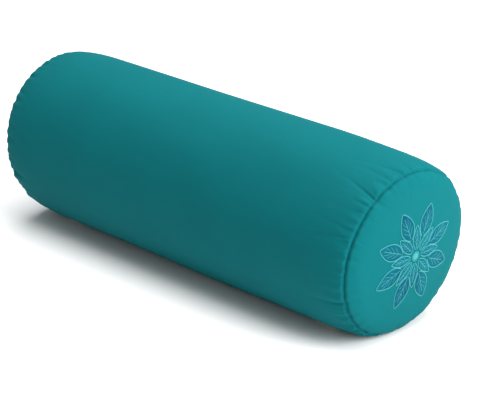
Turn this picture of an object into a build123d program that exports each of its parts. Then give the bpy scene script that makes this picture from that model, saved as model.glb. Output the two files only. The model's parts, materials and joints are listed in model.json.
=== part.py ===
from build123d import *

import math
import os
from dataclasses import dataclass

# Round bolster cushion: a zipped cotton cover over a zipped inner casing that holds loose husk filling.
#
# Frame: X runs along the bolster, with the embroidered front cap at +X. The cover's zip is on the +Y side,
# and +Z is up. The origin is on the floor, under the middle of the bolster. Sizes are in millimetres.

# Overall shape of the filled cover.
DIAMETER = 230.0
LENGTH = 650.0
FLOOR_SAG = 8.0  # how far the underside is pressed flat by the weight
CROWN = 18.5  # how far each end cap bulges out
SHOULDER = 55.0  # length over which the gathered cloth narrows to the cap seam
CAP_RADIUS = 106.5  # radius of the cap seam

RADIUS = DIAMETER / 2
AXIS_HEIGHT = RADIUS - FLOOR_SAG
SEAM_X = LENGTH / 2 - CROWN
AXIS = Axis((0, 0, AXIS_HEIGHT), (1, 0, 0))
PROFILE = Plane.XY.offset(AXIS_HEIGHT)  # X along the bolster, Y is the radius
BIG = 2 * LENGTH  # larger than any part, for cutting tools
TIP_FLAT = 2.0  # radius of the tiny flat at the middle of each dome

# Cloth, thread and seams.
THREAD = 0.4
LOCKSTITCH_IN = 2.0  # from the seam fold to the row of stitches
OVERLOCK_WIDTH = 4.0
FLOOR_GAP = 0.2  # between the cover and the inner casing underneath

# Zips: sizes across the tape.
TAPE_THICK = 0.6
TAPE_EDGE = 1.7  # half of the gap between the two tapes
TAPE_HALF = 15.0  # half of the whole tape's width
TAPE_OVERRUN = 7.0  # how far the tapes and hems run on past the opening
SLOT_HALF = 6.5  # half of the opening between the folded cloth edges
COIL_HIGH = 2.0
COIL_IN = 1.2  # where a coil's sewn strip begins, from the centre line
COIL_OUT = 2.4
TOOTH_REACH = 0.9  # how far a tooth passes the centre line
TOOTH_WIDE = 0.75
TOOTH_PITCH = 2.0
SPREAD = 2.4  # how far each coil is pushed aside by the slider's wedge
SPREAD_START = 9.0  # from the slider's front edge to where the coils begin to part
SPREAD_STEPS = 8
SLIDER_FROM_END = 4.0
SLIDER_LENGTH = 12.0
SLIDER_PLATE = 1.0
SLIDER_LIP = 0.6
SLIDER_GAP = 0.2
SLIDER_FRONT_STRAIGHT = 4.0
WEDGE_HALF = 1.1
WEDGE_FROM_FRONT = 0.4
WEDGE_LENGTH = 2.2
COIL_FROM_END = 8.0
STOP_LENGTH = 2.4
BOTTOM_STOP_LENGTH = 4.0
STOP_GAP = 0.3
STOP_WRAP = 0.4  # how far a stop reaches past the coil that it is clamped on
PULL_LENGTH = 30.0
PULL_WIDE = 6.0
PULL_THICK = 1.2
PULL_HOLE_RADIUS = 1.6
PULL_HOLE_FROM_END = 4.5
PULL_CORNER = 2.0
PULL_SIDE_GAP = 0.3
WINDOW_PAST_BRIDGE = 1.2
PIVOT_ABOVE_PLATE = 0.9
BRIDGE_HALF = 0.9  # half of the bridge's width
BRIDGE_LENGTH = 8.0
BRIDGE_POST = 1.0
BRIDGE_BAR = 0.5  # least thickness of the bridge over its eye
EYE_HIGH = 1.9
TOPSTITCH_OUT = 3.0  # from the opening's edge to the row of stitches
BARTACK_IN = 0.3
BARTACK_OUT = 1.8

# Embroidery on the front cap.
EMBROIDERY_THICK = 0.6
CORD_WIDE = 1.3  # the satin-stitched edge round each petal
PETALS = 8
OUTER_PETAL = (26.0, 68.0, 22.0)  # root radius, tip radius, width
INNER_PETAL = (9.0, 42.0, 13.0)
CENTRE_RADIUS = 6.5
BACKING_RADIUS = 72.0
BACKING_THICK = 0.3
CAP_DEPTH = 5.0  # how far behind the seam the cap's cutting tools start

# The blank care label, by its limits in the cover zip's frame.
LABEL_X = (190.0, 230.0)
LABEL_Y = (7.0, 22.0)
LABEL_THICK = 0.3


@dataclass
class Casing:
    """One sewn casing: a rolled body panel and two caps, all of one cloth."""

    name: str
    radius: float
    cap_radius: float
    seam_x: float
    crown: float
    cloth: float
    allowance: float
    floor: float  # height of the flattened underside
    flats: tuple  # (angle in degrees, distance of the flat from the axis)

    @property
    def fold_x(self):
        return self.seam_x - self.cloth

    @property
    def fold_r(self):
        return self.cap_radius - self.cloth


COVER_ZIP_ANGLE = -15.0  # from +Y towards +Z
LINER_ZIP_ANGLE = 195.0
COVER_FLAT = RADIUS - 1.0  # each zip lies on a narrow flat
LINER_FLAT = RADIUS - 4.7

COVER = Casing(
    name="cover",
    radius=RADIUS,
    cap_radius=CAP_RADIUS,
    seam_x=SEAM_X,
    crown=CROWN,
    cloth=0.8,
    allowance=10.0,
    floor=0.0,
    flats=((COVER_ZIP_ANGLE, COVER_FLAT),),
)
LINER = Casing(
    name="liner",
    radius=RADIUS - 1.0,
    cap_radius=CAP_RADIUS - 12.5,
    seam_x=SEAM_X - 3.5,
    crown=CROWN + 2.2,
    cloth=0.5,
    allowance=8.0,
    floor=COVER.cloth + FLOOR_GAP,
    flats=((COVER_ZIP_ANGLE, LINER_FLAT), (LINER_ZIP_ANGLE, LINER_FLAT)),
)


def flat_plane(angle, distance):
    """The plane of a flat along the bolster's side, with its normal pointing out."""
    out = Vector(0, math.cos(math.radians(angle)), math.sin(math.radians(angle)))
    return Plane(origin=Vector(0, 0, AXIS_HEIGHT) + out * distance, x_dir=(1, 0, 0), z_dir=out)


def dome_arc(cap_radius):
    """The turn of a dome's profile, from its rim to the tiny flat at its middle."""
    return math.degrees(math.asin(TIP_FLAT / cap_radius)) - 90


def filled_shape(casing, inset):
    """The solid inside a casing's outer surface, moved in by the inset, with its floor and its flats."""
    radius = casing.radius - inset
    cap_radius = casing.cap_radius - inset
    seam_x = casing.seam_x - inset
    body_half = seam_x - SHOULDER
    to_tip = dome_arc(cap_radius)
    with BuildPart() as shape:
        with BuildSketch(PROFILE):
            with BuildLine():
                Line((0, radius), (body_half, radius))
                EllipticalCenterArc((body_half, cap_radius), SHOULDER, radius - cap_radius, 90, arc_size=-90)
                dome = EllipticalCenterArc((seam_x, 0), casing.crown, cap_radius, 90, arc_size=to_tip)
                Polyline(dome @ 1, ((dome @ 1).X, 0), (0, 0), (0, radius))
            make_face()
            mirror(about=Plane.YZ)
        revolve(axis=AXIS)
        split(bisect_by=Plane.XY.offset(casing.floor + inset), keep=Keep.TOP)
        for angle, distance in casing.flats:
            split(bisect_by=flat_plane(angle, distance - inset), keep=Keep.BOTTOM)
    return shape.part


def cap_side(casing, end):
    """Everything on the cap's side of the seam, at one end (1 or -1)."""
    with BuildPart() as side:
        with BuildSketch(PROFILE):
            with BuildLine():
                Polyline(
                    (end * casing.fold_x, 0),
                    (end * casing.fold_x, casing.fold_r),
                    (end * casing.seam_x, casing.cap_radius),
                    (end * BIG, casing.cap_radius),
                    (end * BIG, 0),
                    close=True,
                )
            make_face()
        revolve(axis=AXIS)
    return side.part


def ring(near_x, far_x, low_r, high_r):
    """A ring round the bolster's axis, with a rectangular section."""
    with BuildPart() as made:
        with BuildSketch(PROFILE):
            with Locations(((near_x + far_x) / 2, (low_r + high_r) / 2)):
                Rectangle(abs(far_x - near_x), high_r - low_r)
        revolve(axis=AXIS)
    return made.part


def body_flange(casing, end):
    """The body panel's seam allowance, turned in behind a cap."""
    near_x = end * (casing.fold_x - casing.cloth)
    return ring(near_x, end * casing.fold_x, casing.fold_r - casing.allowance, casing.fold_r + casing.cloth)


def cap_flange(casing, end):
    """A cap's seam allowance, which lies against the body panel's."""
    return ring(end * casing.fold_x, end * casing.seam_x, casing.fold_r - casing.allowance, casing.fold_r)


@dataclass
class Zipper:
    """A coil zip. In its frame X runs along it, Z points out, and Z 0 is the outer face of the cloth."""

    casing: Casing
    angle: float
    distance: float
    half: float  # half of the opening's length
    bridge_high: float

    @property
    def plane(self):
        return flat_plane(self.angle, self.distance)

    @property
    def tape_top(self):
        return -2 * self.casing.cloth

    @property
    def tape_bottom(self):
        return self.tape_top - TAPE_THICK

    @property
    def coil_top(self):
        return self.tape_top + COIL_HIGH

    @property
    def plate_low(self):
        return self.coil_top + SLIDER_GAP

    @property
    def plate_high(self):
        return self.plate_low + SLIDER_PLATE

    @property
    def slider_bottom(self):
        return self.tape_bottom - SLIDER_GAP - SLIDER_PLATE

    @property
    def pivot_high(self):
        return self.plate_high + PIVOT_ABOVE_PLATE

    @property
    def front(self):
        """The slider's front edge when the zip is closed, at its -X end."""
        return SLIDER_FROM_END - self.half

    @property
    def back(self):
        return self.front + SLIDER_LENGTH

    @property
    def middle(self):
        return self.front + SLIDER_LENGTH / 2

    @property
    def coil_end(self):
        return self.half - COIL_FROM_END

    @property
    def travel(self):
        """How far the slider runs as the zip opens."""
        return self.coil_end - self.back - STOP_GAP

    def aside(self, x):
        """How far a coil is pushed aside at x, on a smooth step round the slider's wedge."""
        share = min(1.0, max(0.0, (self.front + SPREAD_START - x) / (SPREAD_START - 1)))
        return SPREAD * share * share * (3 - 2 * share)


COVER_ZIP = Zipper(COVER, COVER_ZIP_ANGLE, COVER_FLAT, half=240.0, bridge_high=3.0)
LINER_ZIP = Zipper(LINER, LINER_ZIP_ANGLE, LINER_FLAT, half=150.0, bridge_high=1.2)


def zip_block(zipper, x_limits, y_limits, z_limits):
    """A rectangular block, given by its limits in the zip's frame."""
    with BuildPart() as block:
        with BuildSketch(zipper.plane.offset(z_limits[0])):
            with Locations((sum(x_limits) / 2, sum(y_limits) / 2)):
                Rectangle(x_limits[1] - x_limits[0], y_limits[1] - y_limits[0])
        extrude(amount=z_limits[1] - z_limits[0])
    return block.part


def body_panel(casing, zipper):
    """The rolled body panel, with its seam allowances, and cloth folded back along the zip opening."""
    along = zipper.half + TAPE_OVERRUN
    filled = filled_shape(casing, 0)
    hollow = filled_shape(casing, casing.cloth)
    cap_sides = [cap_side(casing, end) for end in (1, -1)]
    flanges = [body_flange(casing, end) for end in (1, -1)]
    hem = zip_block(zipper, (-along, along), (-TAPE_HALF, TAPE_HALF), (zipper.tape_top, -casing.cloth))
    opening = zip_block(
        zipper, (-zipper.half, zipper.half), (-SLOT_HALF, SLOT_HALF), (zipper.tape_top, casing.cloth)
    )
    with BuildPart() as panel:
        add(filled)
        add(hollow, mode=Mode.SUBTRACT)
        add(cap_sides, mode=Mode.SUBTRACT)
        add(flanges)
        add(hem)
        add(opening, mode=Mode.SUBTRACT)
    panel.part.label = f"{casing.name}_body_panel"
    return panel.part


def end_cap(casing, end, place):
    """A round, domed end cap with its seam allowance."""
    filled = filled_shape(casing, 0)
    hollow = filled_shape(casing, casing.cloth)
    side = cap_side(casing, end)
    flange = cap_flange(casing, end)
    with BuildPart() as cap:
        add(filled)
        add(hollow, mode=Mode.SUBTRACT)
        add(side, mode=Mode.INTERSECT)
        add(flange)
    cap.part.label = f"{casing.name}_{place}_cap"
    return cap.part


def seam_thread(casing, end, place):
    """The needle thread and the bobbin thread of a cap seam, one on each side of the two allowances."""
    high_r = casing.fold_r - LOCKSTITCH_IN
    rows = []
    for side in (1, -1):
        near = casing.fold_x + side * casing.cloth
        rows.append(ring(end * near, end * (near + side * THREAD), high_r - THREAD, high_r))
    with BuildPart() as thread:
        add(rows)
    thread.part.label = f"{casing.name}_{place}_seam_thread"
    return thread.part


def overlock_thread(casing, end, place):
    """The overlocked thread that wraps the raw edges of both seam allowances."""
    edge_r = casing.fold_r - casing.allowance
    half = casing.cloth + THREAD
    wrap = ring(
        end * (casing.fold_x - half), end * (casing.fold_x + half), edge_r - THREAD, edge_r + OVERLOCK_WIDTH
    )
    edges = ring(
        end * (casing.fold_x - casing.cloth), end * casing.seam_x, edge_r, edge_r + OVERLOCK_WIDTH
    )
    with BuildPart() as thread:
        add(wrap)
        add(edges, mode=Mode.SUBTRACT)
    thread.part.label = f"{casing.name}_{place}_overlock_thread"
    return thread.part


def zip_tape(zipper, side, place):
    """One woven tape, under the folded cloth. The side is 1 or -1 in the zip's Y."""
    with BuildPart() as tape:
        with BuildSketch(zipper.plane.offset(zipper.tape_bottom)):
            with Locations((0, side * (TAPE_EDGE + TAPE_HALF) / 2)):
                Rectangle(2 * (zipper.half + TAPE_OVERRUN), TAPE_HALF - TAPE_EDGE)
        extrude(amount=TAPE_THICK)
    tape.part.label = f"{zipper.casing.name}_zip_{place}_tape"
    return tape.part


def coil_outline(zipper, side):
    """The outline of one coil as a comb: teeth on the inner edge, and an outer edge that spreads in front."""
    start = zipper.front + STOP_GAP
    half_turn = TOOTH_PITCH / 2 if side > 0 else 0.0
    count = int((zipper.coil_end - start) / TOOTH_PITCH) - 1
    points = [(start, side * (COIL_IN + zipper.aside(start)))]
    for i in range(count):
        low = start + TOOTH_PITCH / 2 + half_turn + i * TOOTH_PITCH
        high = low + TOOTH_WIDE
        root = side * (COIL_IN + zipper.aside(low))
        tip = side * (zipper.aside(low) - TOOTH_REACH)
        points += [(low, root), (low, tip), (high, tip), (high, root)]
    points += [(zipper.coil_end, side * COIL_IN), (zipper.coil_end, side * COIL_OUT)]
    for i in range(SPREAD_STEPS + 1):
        x = zipper.back + (start - zipper.back) * i / SPREAD_STEPS
        points.append((x, side * (COIL_OUT + zipper.aside(x))))
    return points


def zip_coil(zipper, side, place):
    """One row of the coil, sewn to its tape, with a tooth for each turn."""
    with BuildPart() as coil:
        with BuildSketch(zipper.plane.offset(zipper.tape_top)):
            with BuildLine():
                Polyline(*coil_outline(zipper, side), close=True)
            make_face()
        extrude(amount=COIL_HIGH)
    coil.part.label = f"{zipper.casing.name}_zip_{place}_coil"
    return coil.part


def slider_outline(zipper, lip):
    """The slider's outline, wide in front where the coils are apart and narrow behind."""
    wide = COIL_OUT + SPREAD + 2 * SLIDER_GAP + lip
    narrow = COIL_OUT + 2 * SLIDER_GAP + lip
    shoulder = zipper.front + SLIDER_FRONT_STRAIGHT
    neck = zipper.back - 2
    half = [(zipper.front, wide), (shoulder, wide), (neck, narrow), (zipper.back, narrow)]
    return half + [(x, -y) for x, y in reversed(half)]


def zip_slider(zipper):
    """The cast slider: two plates with side lips, the wedge between them, and the bridge on top."""
    eye_high = min(EYE_HIGH, zipper.bridge_high - BRIDGE_BAR)
    with BuildPart() as slider:
        for low in (zipper.plate_low, zipper.slider_bottom):
            with BuildSketch(zipper.plane.offset(low)):
                with BuildLine():
                    Polyline(*slider_outline(zipper, SLIDER_LIP), close=True)
                make_face()
            extrude(amount=SLIDER_PLATE)
        with BuildSketch(zipper.plane.offset(zipper.tape_top + SLIDER_GAP)):
            with BuildLine():
                Polyline(*slider_outline(zipper, SLIDER_LIP), close=True)
            make_face()
            with BuildLine():
                Polyline(*slider_outline(zipper, 0), close=True)
            make_face(mode=Mode.SUBTRACT)
        extrude(amount=zipper.plate_low - zipper.tape_top - SLIDER_GAP)
        with BuildSketch(zipper.plane.offset(zipper.slider_bottom)):
            with Locations((zipper.front + WEDGE_FROM_FRONT + WEDGE_LENGTH / 2, 0)):
                Rectangle(WEDGE_LENGTH, 2 * WEDGE_HALF)
        extrude(amount=zipper.plate_high - zipper.slider_bottom)
        with BuildSketch(zipper.plane.offset(zipper.plate_high)):
            with Locations((zipper.middle, 0)):
                Rectangle(BRIDGE_LENGTH, 2 * BRIDGE_HALF)
        extrude(amount=zipper.bridge_high)
        with BuildSketch(zipper.plane.offset(zipper.plate_high)):
            with Locations((zipper.middle, 0)):
                Rectangle(BRIDGE_LENGTH - 2 * BRIDGE_POST, 2 * BRIDGE_HALF)
        extrude(amount=eye_high, mode=Mode.SUBTRACT)
    slider.part.label = f"{zipper.casing.name}_zip_slider"
    return slider.part


def zip_pull(zipper):
    """The pull: a round bar through the bridge's eye, an arm on each side of it, and a flat tab with a hole."""
    pivot = zipper.plane.from_local_coords((zipper.middle, 0, zipper.pivot_high))
    across = Plane(origin=pivot, x_dir=zipper.plane.x_dir, z_dir=zipper.plane.y_dir)
    window = BRIDGE_LENGTH / 2 + WINDOW_PAST_BRIDGE
    with BuildPart() as pull:
        with BuildSketch(zipper.plane.offset(zipper.pivot_high - PULL_THICK / 2)):
            with Locations((zipper.middle + PULL_LENGTH / 2, 0)):
                Rectangle(PULL_LENGTH, PULL_WIDE)
            with Locations((zipper.middle + PULL_LENGTH - PULL_HOLE_FROM_END, 0)):
                Circle(PULL_HOLE_RADIUS, mode=Mode.SUBTRACT)
            with Locations((zipper.middle + window / 2, 0)):
                Rectangle(window, 2 * (BRIDGE_HALF + PULL_SIDE_GAP), mode=Mode.SUBTRACT)
        extrude(amount=PULL_THICK)
        upright = pull.edges().filter_by(Axis((0, 0, 0), zipper.plane.z_dir))
        fillet(upright.group_by(Axis.X)[-1], radius=PULL_CORNER)
        with BuildSketch(across.offset(-PULL_WIDE / 2)):
            Circle(PULL_THICK / 2)
        extrude(amount=PULL_WIDE)
    pull.part.label = f"{zipper.casing.name}_zip_pull"
    return pull.part


def zip_top_stops(zipper):
    """The metal stops clamped on the two coils at the closed end."""
    x_limits = (zipper.front - STOP_GAP - STOP_LENGTH, zipper.front - STOP_GAP)
    z_limits = (zipper.tape_top, zipper.coil_top)
    inner, outer = SPREAD + STOP_WRAP / 2, COIL_OUT + SPREAD + STOP_WRAP
    halves = [zip_block(zipper, x_limits, y, z_limits) for y in ((inner, outer), (-outer, -inner))]
    with BuildPart() as stops:
        add(halves)
    stops.part.label = f"{zipper.casing.name}_zip_top_stops"
    return stops.part


def zip_bottom_stop(zipper):
    """The metal stop that holds both coils together at the open end."""
    near = zipper.coil_end + STOP_GAP
    wide = COIL_OUT + STOP_WRAP
    bar = zip_block(
        zipper, (near, near + BOTTOM_STOP_LENGTH), (-wide, wide), (zipper.tape_top, zipper.coil_top)
    )
    with BuildPart() as stop:
        add(bar)
    stop.part.label = f"{zipper.casing.name}_zip_bottom_stop"
    return stop.part


def zip_topstitching(zipper):
    """The row of stitches round the opening, on the cloth's outer face."""
    long = 2 * (zipper.half + TOPSTITCH_OUT)
    wide = 2 * (SLOT_HALF + TOPSTITCH_OUT)
    with BuildPart() as stitches:
        with BuildSketch(zipper.plane):
            Rectangle(long + THREAD, wide + THREAD)
            Rectangle(long - THREAD, wide - THREAD, mode=Mode.SUBTRACT)
        extrude(amount=THREAD)
    stitches.part.label = f"{zipper.casing.name}_zip_topstitching"
    return stitches.part


def zip_bartacks(zipper):
    """A dense bar of stitches across each end of the opening."""
    near, far = zipper.half + BARTACK_IN, zipper.half + BARTACK_OUT
    with BuildPart() as bars:
        with BuildSketch(zipper.plane):
            with Locations(((near + far) / 2, 0), (-(near + far) / 2, 0)):
                Rectangle(far - near, 2 * SLOT_HALF)
        extrude(amount=THREAD)
    bars.part.label = f"{zipper.casing.name}_zip_bartacks"
    return bars.part


def care_label():
    """A blank care label, caught under the cover's zip tape near its open end."""
    z_limits = (COVER_ZIP.tape_bottom - LABEL_THICK, COVER_ZIP.tape_bottom)
    tab = zip_block(COVER_ZIP, LABEL_X, LABEL_Y, z_limits)
    with BuildPart() as label:
        add(tab)
    label.part.label = "care_label"
    return label.part


def husk_filling():
    """The loose husks as one solid that fills the inner casing, clear of its seams and its zip."""
    packed = filled_shape(LINER, LINER.cloth)
    zip_room = flat_plane(LINER_ZIP_ANGLE, LINER_FLAT + LINER_ZIP.slider_bottom - STOP_GAP)
    seam_half = LINER.cloth + THREAD
    seam_low = LINER.fold_r - LINER.allowance - THREAD
    seam_rooms = [
        ring(end * (LINER.fold_x - seam_half), end * (LINER.fold_x + seam_half), seam_low, LINER.radius)
        for end in (1, -1)
    ]
    with BuildPart() as filling:
        add(packed)
        split(bisect_by=zip_room, keep=Keep.BOTTOM)
        add(seam_rooms, mode=Mode.SUBTRACT)
    filling.part.label = "husk_filling"
    return filling.part


CAP_FACE = Plane(origin=(SEAM_X - CAP_DEPTH, 0, AXIS_HEIGHT), x_dir=(0, 1, 0), z_dir=(1, 0, 0))


def cap_fill(shift, radius):
    """The solid behind the front cap's dome, moved along X by the shift."""
    with BuildPart() as dome:
        with BuildSketch(PROFILE):
            with BuildLine():
                crown = EllipticalCenterArc((SEAM_X + shift, 0), CROWN, radius, 90, arc_size=dome_arc(radius))
                Polyline(
                    crown @ 1,
                    ((crown @ 1).X, 0),
                    (SEAM_X - CAP_DEPTH, 0),
                    (SEAM_X - CAP_DEPTH, radius),
                    (SEAM_X + shift, radius),
                )
            make_face()
        revolve(axis=AXIS)
    return dome.part


def cap_layer(label, sketch, low, high, radius):
    """A sketch on the cap's face made into a thin layer between two shifts of the cap's dome."""
    above = cap_fill(high, radius)
    below = cap_fill(low, radius)
    with BuildPart() as layer:
        with BuildSketch(CAP_FACE):
            add(sketch)
        extrude(amount=CAP_DEPTH + 2 * CROWN)
        add(above, mode=Mode.INTERSECT)
        add(below, mode=Mode.SUBTRACT)
    layer.part.label = label
    return layer.part


def petal(size, inset):
    """A pointed petal that points along X, moved in by the inset."""
    root, tip, width = size
    low, high, half = root + 2 * inset, tip - 2 * inset, width / 2 - inset
    with BuildSketch() as shape:
        with BuildLine():
            ThreePointArc((low, 0), ((low + high) / 2, half), (high, 0))
            ThreePointArc((high, 0), ((low + high) / 2, -half), (low, 0))
        make_face()
    return shape.sketch


def petal_fills(size, turn):
    """The filled petals of one circle."""
    inside = petal(size, CORD_WIDE)
    with BuildSketch() as fills:
        with PolarLocations(0, PETALS, start_angle=turn):
            add(inside)
    return fills.sketch


def petal_edges(size, turn):
    """The satin-stitched edges of the petals of one circle."""
    whole = petal(size, 0)
    inside = petal(size, CORD_WIDE)
    with BuildSketch() as edges:
        with PolarLocations(0, PETALS, start_angle=turn):
            add(whole)
            add(inside, mode=Mode.SUBTRACT)
    return edges.sketch


def disc(radius):
    """A round outline on the middle of the cap."""
    with BuildSketch() as shape:
        Circle(radius)
    return shape.sketch


def embroidery_parts():
    """The stitched blossom on the front cap, and the backing sheet inside the cap."""
    half_step = 180 / PETALS
    outlines = {
        "embroidery_outer_petals": petal_fills(OUTER_PETAL, half_step),
        "embroidery_outer_edges": petal_edges(OUTER_PETAL, half_step),
        "embroidery_inner_petals": petal_fills(INNER_PETAL, 0),
        "embroidery_inner_edges": petal_edges(INNER_PETAL, 0),
        "embroidery_centre": disc(CENTRE_RADIUS),
    }
    made = [cap_layer(label, sketch, 0, EMBROIDERY_THICK, CAP_RADIUS) for label, sketch in outlines.items()]
    backing_low = -COVER.cloth - BACKING_THICK
    made.append(
        cap_layer("embroidery_backing", disc(BACKING_RADIUS), backing_low, -COVER.cloth, COVER.fold_r)
    )
    return made


def casing_parts(casing, zipper):
    """Every sewn piece of one casing."""
    made = [body_panel(casing, zipper)]
    for end, place in ((1, "front"), (-1, "rear")):
        made.append(end_cap(casing, end, place))
        made.append(seam_thread(casing, end, place))
        made.append(overlock_thread(casing, end, place))
    return made


def zip_parts(zipper):
    """Every piece of one zip, apart from its pull."""
    made = [zip_slider(zipper), zip_top_stops(zipper), zip_bottom_stop(zipper)]
    made += [zip_topstitching(zipper), zip_bartacks(zipper)]
    for side in (1, -1):
        place = "upper" if side * zipper.plane.y_dir.Z > 0 else "lower"
        made.append(zip_tape(zipper, side, place))
        made.append(zip_coil(zipper, side, place))
    return made


os.makedirs("parts", exist_ok=True)
pieces = casing_parts(COVER, COVER_ZIP) + zip_parts(COVER_ZIP) + [zip_pull(COVER_ZIP), care_label()]
pieces += casing_parts(LINER, LINER_ZIP) + zip_parts(LINER_ZIP)
pieces += embroidery_parts() + [husk_filling()]
for piece in pieces:
    export_step(piece, f"parts/{piece.label}.step")

pivot = COVER_ZIP.plane.from_local_coords((COVER_ZIP.middle, 0, COVER_ZIP.pivot_high))
print("pull pivot", pivot, "across", COVER_ZIP.plane.y_dir)
print("cover slider travel", COVER_ZIP.travel, "liner slider travel", LINER_ZIP.travel)
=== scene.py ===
import json
import math
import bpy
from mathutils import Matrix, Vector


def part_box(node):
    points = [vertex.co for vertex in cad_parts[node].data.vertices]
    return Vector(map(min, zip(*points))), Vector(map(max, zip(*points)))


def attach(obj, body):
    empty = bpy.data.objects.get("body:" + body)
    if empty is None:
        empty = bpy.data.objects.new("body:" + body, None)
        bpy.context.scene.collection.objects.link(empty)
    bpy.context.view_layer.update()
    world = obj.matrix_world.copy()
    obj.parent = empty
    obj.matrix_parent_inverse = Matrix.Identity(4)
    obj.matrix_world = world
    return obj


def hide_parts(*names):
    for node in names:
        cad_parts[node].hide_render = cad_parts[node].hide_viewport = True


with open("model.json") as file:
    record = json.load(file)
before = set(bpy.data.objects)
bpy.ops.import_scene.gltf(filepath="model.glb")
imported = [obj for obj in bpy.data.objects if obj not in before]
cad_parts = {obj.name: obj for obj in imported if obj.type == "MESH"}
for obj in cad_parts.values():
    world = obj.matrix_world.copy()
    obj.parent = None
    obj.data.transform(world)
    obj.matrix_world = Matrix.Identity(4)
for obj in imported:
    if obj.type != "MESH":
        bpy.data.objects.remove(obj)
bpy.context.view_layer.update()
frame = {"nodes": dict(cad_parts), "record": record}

from types import SimpleNamespace

import bmesh
import bpy
import numpy as np
from mathutils import Vector

bl_info = {
    "name": "Gathered Bolster Cushion",
    "version": (1, 0, 0),
    "blender": (4, 5, 0),
    "location": "View3D > Sidebar > Bolster",
    "description": "Builds the cloth, stitching, zips and embroidery of a round bolster round its CAD frame",
    "category": "Object",
}

MM = 0.001
FULL_TURN = 2 * math.pi
ENDS = ((1, "front"), (-1, "rear"))

COVER_ZIP_ANGLE = math.radians(-15)  # from +Y towards +Z
LINER_ZIP_ANGLE = math.radians(195)

# How the filled cover settles.
LEAN_START = 0.6  # as a share of half the length
SAG_START = 0.47  # as a share of half the length
FLOOR_EASE = 1.2 * MM
FLOOR_REST = 0.17 * MM  # how much lower the eased cloth is set, so that it reaches the floor
FLAT_EASE = 0.2 * MM

SHOULDER = 55 * MM  # length of the rounded shoulder before each seam
ALLOWANCE = 9 * MM  # cloth turned in behind each seam


def measured_casing(name, columns, zip_angles, flat_depth, floor, cloth):
    """A casing's sizes, read from the boxes of its body panel and its front cap.

    Its own zip is the last of the zip angles, and the middle one of its columns lies along that zip."""
    body_low, body_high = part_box(f"{name}_body_panel")
    cap_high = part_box(f"{name}_front_cap")[1]
    radius = (body_high.y - body_low.y) / 2
    return SimpleNamespace(
        name=name,
        columns=columns,
        radius=radius,
        axis=body_high.z - radius,
        seam_x=body_high.x,
        cap_radius=cap_high.y,
        crown=cap_high.x - body_high.x,
        tip=cap_high.x,
        flats=[(angle, radius - flat_depth) for angle in zip_angles],
        floor=floor,
        cloth=cloth,
    )


COVER = measured_casing("cover", 512, [COVER_ZIP_ANGLE], 1.0 * MM, 0.0, 0.8 * MM)
LINER = measured_casing("liner", 256, [COVER_ZIP_ANGLE, LINER_ZIP_ANGLE], 3.7 * MM, 1.0 * MM, 0.5 * MM)
AXIS_HEIGHT = COVER.axis

# The openings that the zips lie in.
OPENING_SHARE = 1 / 128  # of the columns, on each side of the zip's middle
OPENING_COLUMN = 7.3 * MM  # from the zip's middle to the cloth's cut edge, under the rounded fold
OPENING_ROW = 240.8 * MM
LINER_OPENING_ROW = 150.8 * MM


def chosen_sizes():
    """The sizes that the user can set."""
    return bpy.context.scene.bolster_sizes


def smooth_step(value):
    """0 below 0, 1 above 1, and 3t^2 - 2t^3 between."""
    t = np.clip(value, 0, 1)
    return t * t * (3 - 2 * t)


def turns_round(count):
    """So many evenly spaced angles, once round."""
    return np.arange(count) * FULL_TURN / count


def angle_from(angle, centre):
    """The signed angle from a centre, between minus and plus half a turn."""
    return (angle - centre + math.pi) % FULL_TURN - math.pi


def column_angles(casing):
    """The columns' angles: even, but shifted beside the zip so that two fall on its opening's edges."""
    zip_angle, distance = casing.flats[-1]
    edge = math.atan2(OPENING_COLUMN, distance)
    even = (np.arange(casing.columns) - casing.columns // 2) * FULL_TURN / casing.columns
    knots = np.array([-4, -1, 1, 4]) * OPENING_SHARE * FULL_TURN
    shifted = np.interp(even, knots, [knots[0], -edge, edge, knots[3]])
    return zip_angle + np.where(np.abs(even) < knots[3], shifted, even)


def settle(casing, x, radius, angle, end=1.0):
    """Places points given by distance along the axis, radius and angle.

    A point starts on a circle round the axis. Wherever it passes a zip's flat, or the floor, it is eased back
    by the smooth minimum v - (d + sqrt(d^2 + 4e^2)) / 2, where d is how far it has passed and e the ease.
    Then it leans along the axis by its height above the axis, more towards the end. At the front its upper
    half sinks in the same way."""
    y = radius * np.cos(angle)
    high = radius * np.sin(angle)
    for flat_angle, distance in casing.flats:
        out_y, out_z = math.cos(flat_angle), math.sin(flat_angle)
        past = y * out_y + high * out_z - distance
        back = (past + np.sqrt(past * past + 4 * FLAT_EASE**2)) / 2
        y = y - back * out_y
        high = high - back * out_z
    sizes = chosen_sizes()
    above = casing.axis + high - casing.floor
    z = casing.floor + (above + np.sqrt(above * above + 4 * FLOOR_EASE**2)) / 2 - FLOOR_REST
    share = np.abs(x) / COVER.tip
    lean = smooth_step((share - LEAN_START) / (1 - LEAN_START))
    if end > 0:
        upper = np.maximum(z - casing.axis, 0) / COVER.radius
        z = z - sizes.front_sag * upper * smooth_step((share - SAG_START) / (1 - SAG_START))
    out = np.abs(x) + sizes.lean * (z - casing.axis) * lean
    return np.stack([end * out, y, z], axis=-1)


def shoulder_radius(casing, x):
    """Radius of the body at x: straight, then a quarter ellipse down to the seam."""
    share = np.clip((np.abs(x) - (casing.seam_x - SHOULDER)) / SHOULDER, 0, 1)
    return casing.cap_radius + (casing.radius - casing.cap_radius) * np.sqrt(1 - share**2)


def dome_x(casing, radius):
    """Distance along the axis of the domed cap at a radius: a quarter ellipse."""
    return casing.seam_x + casing.crown * np.sqrt(np.clip(1 - (radius / casing.cap_radius) ** 2, 0, 1))


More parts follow.
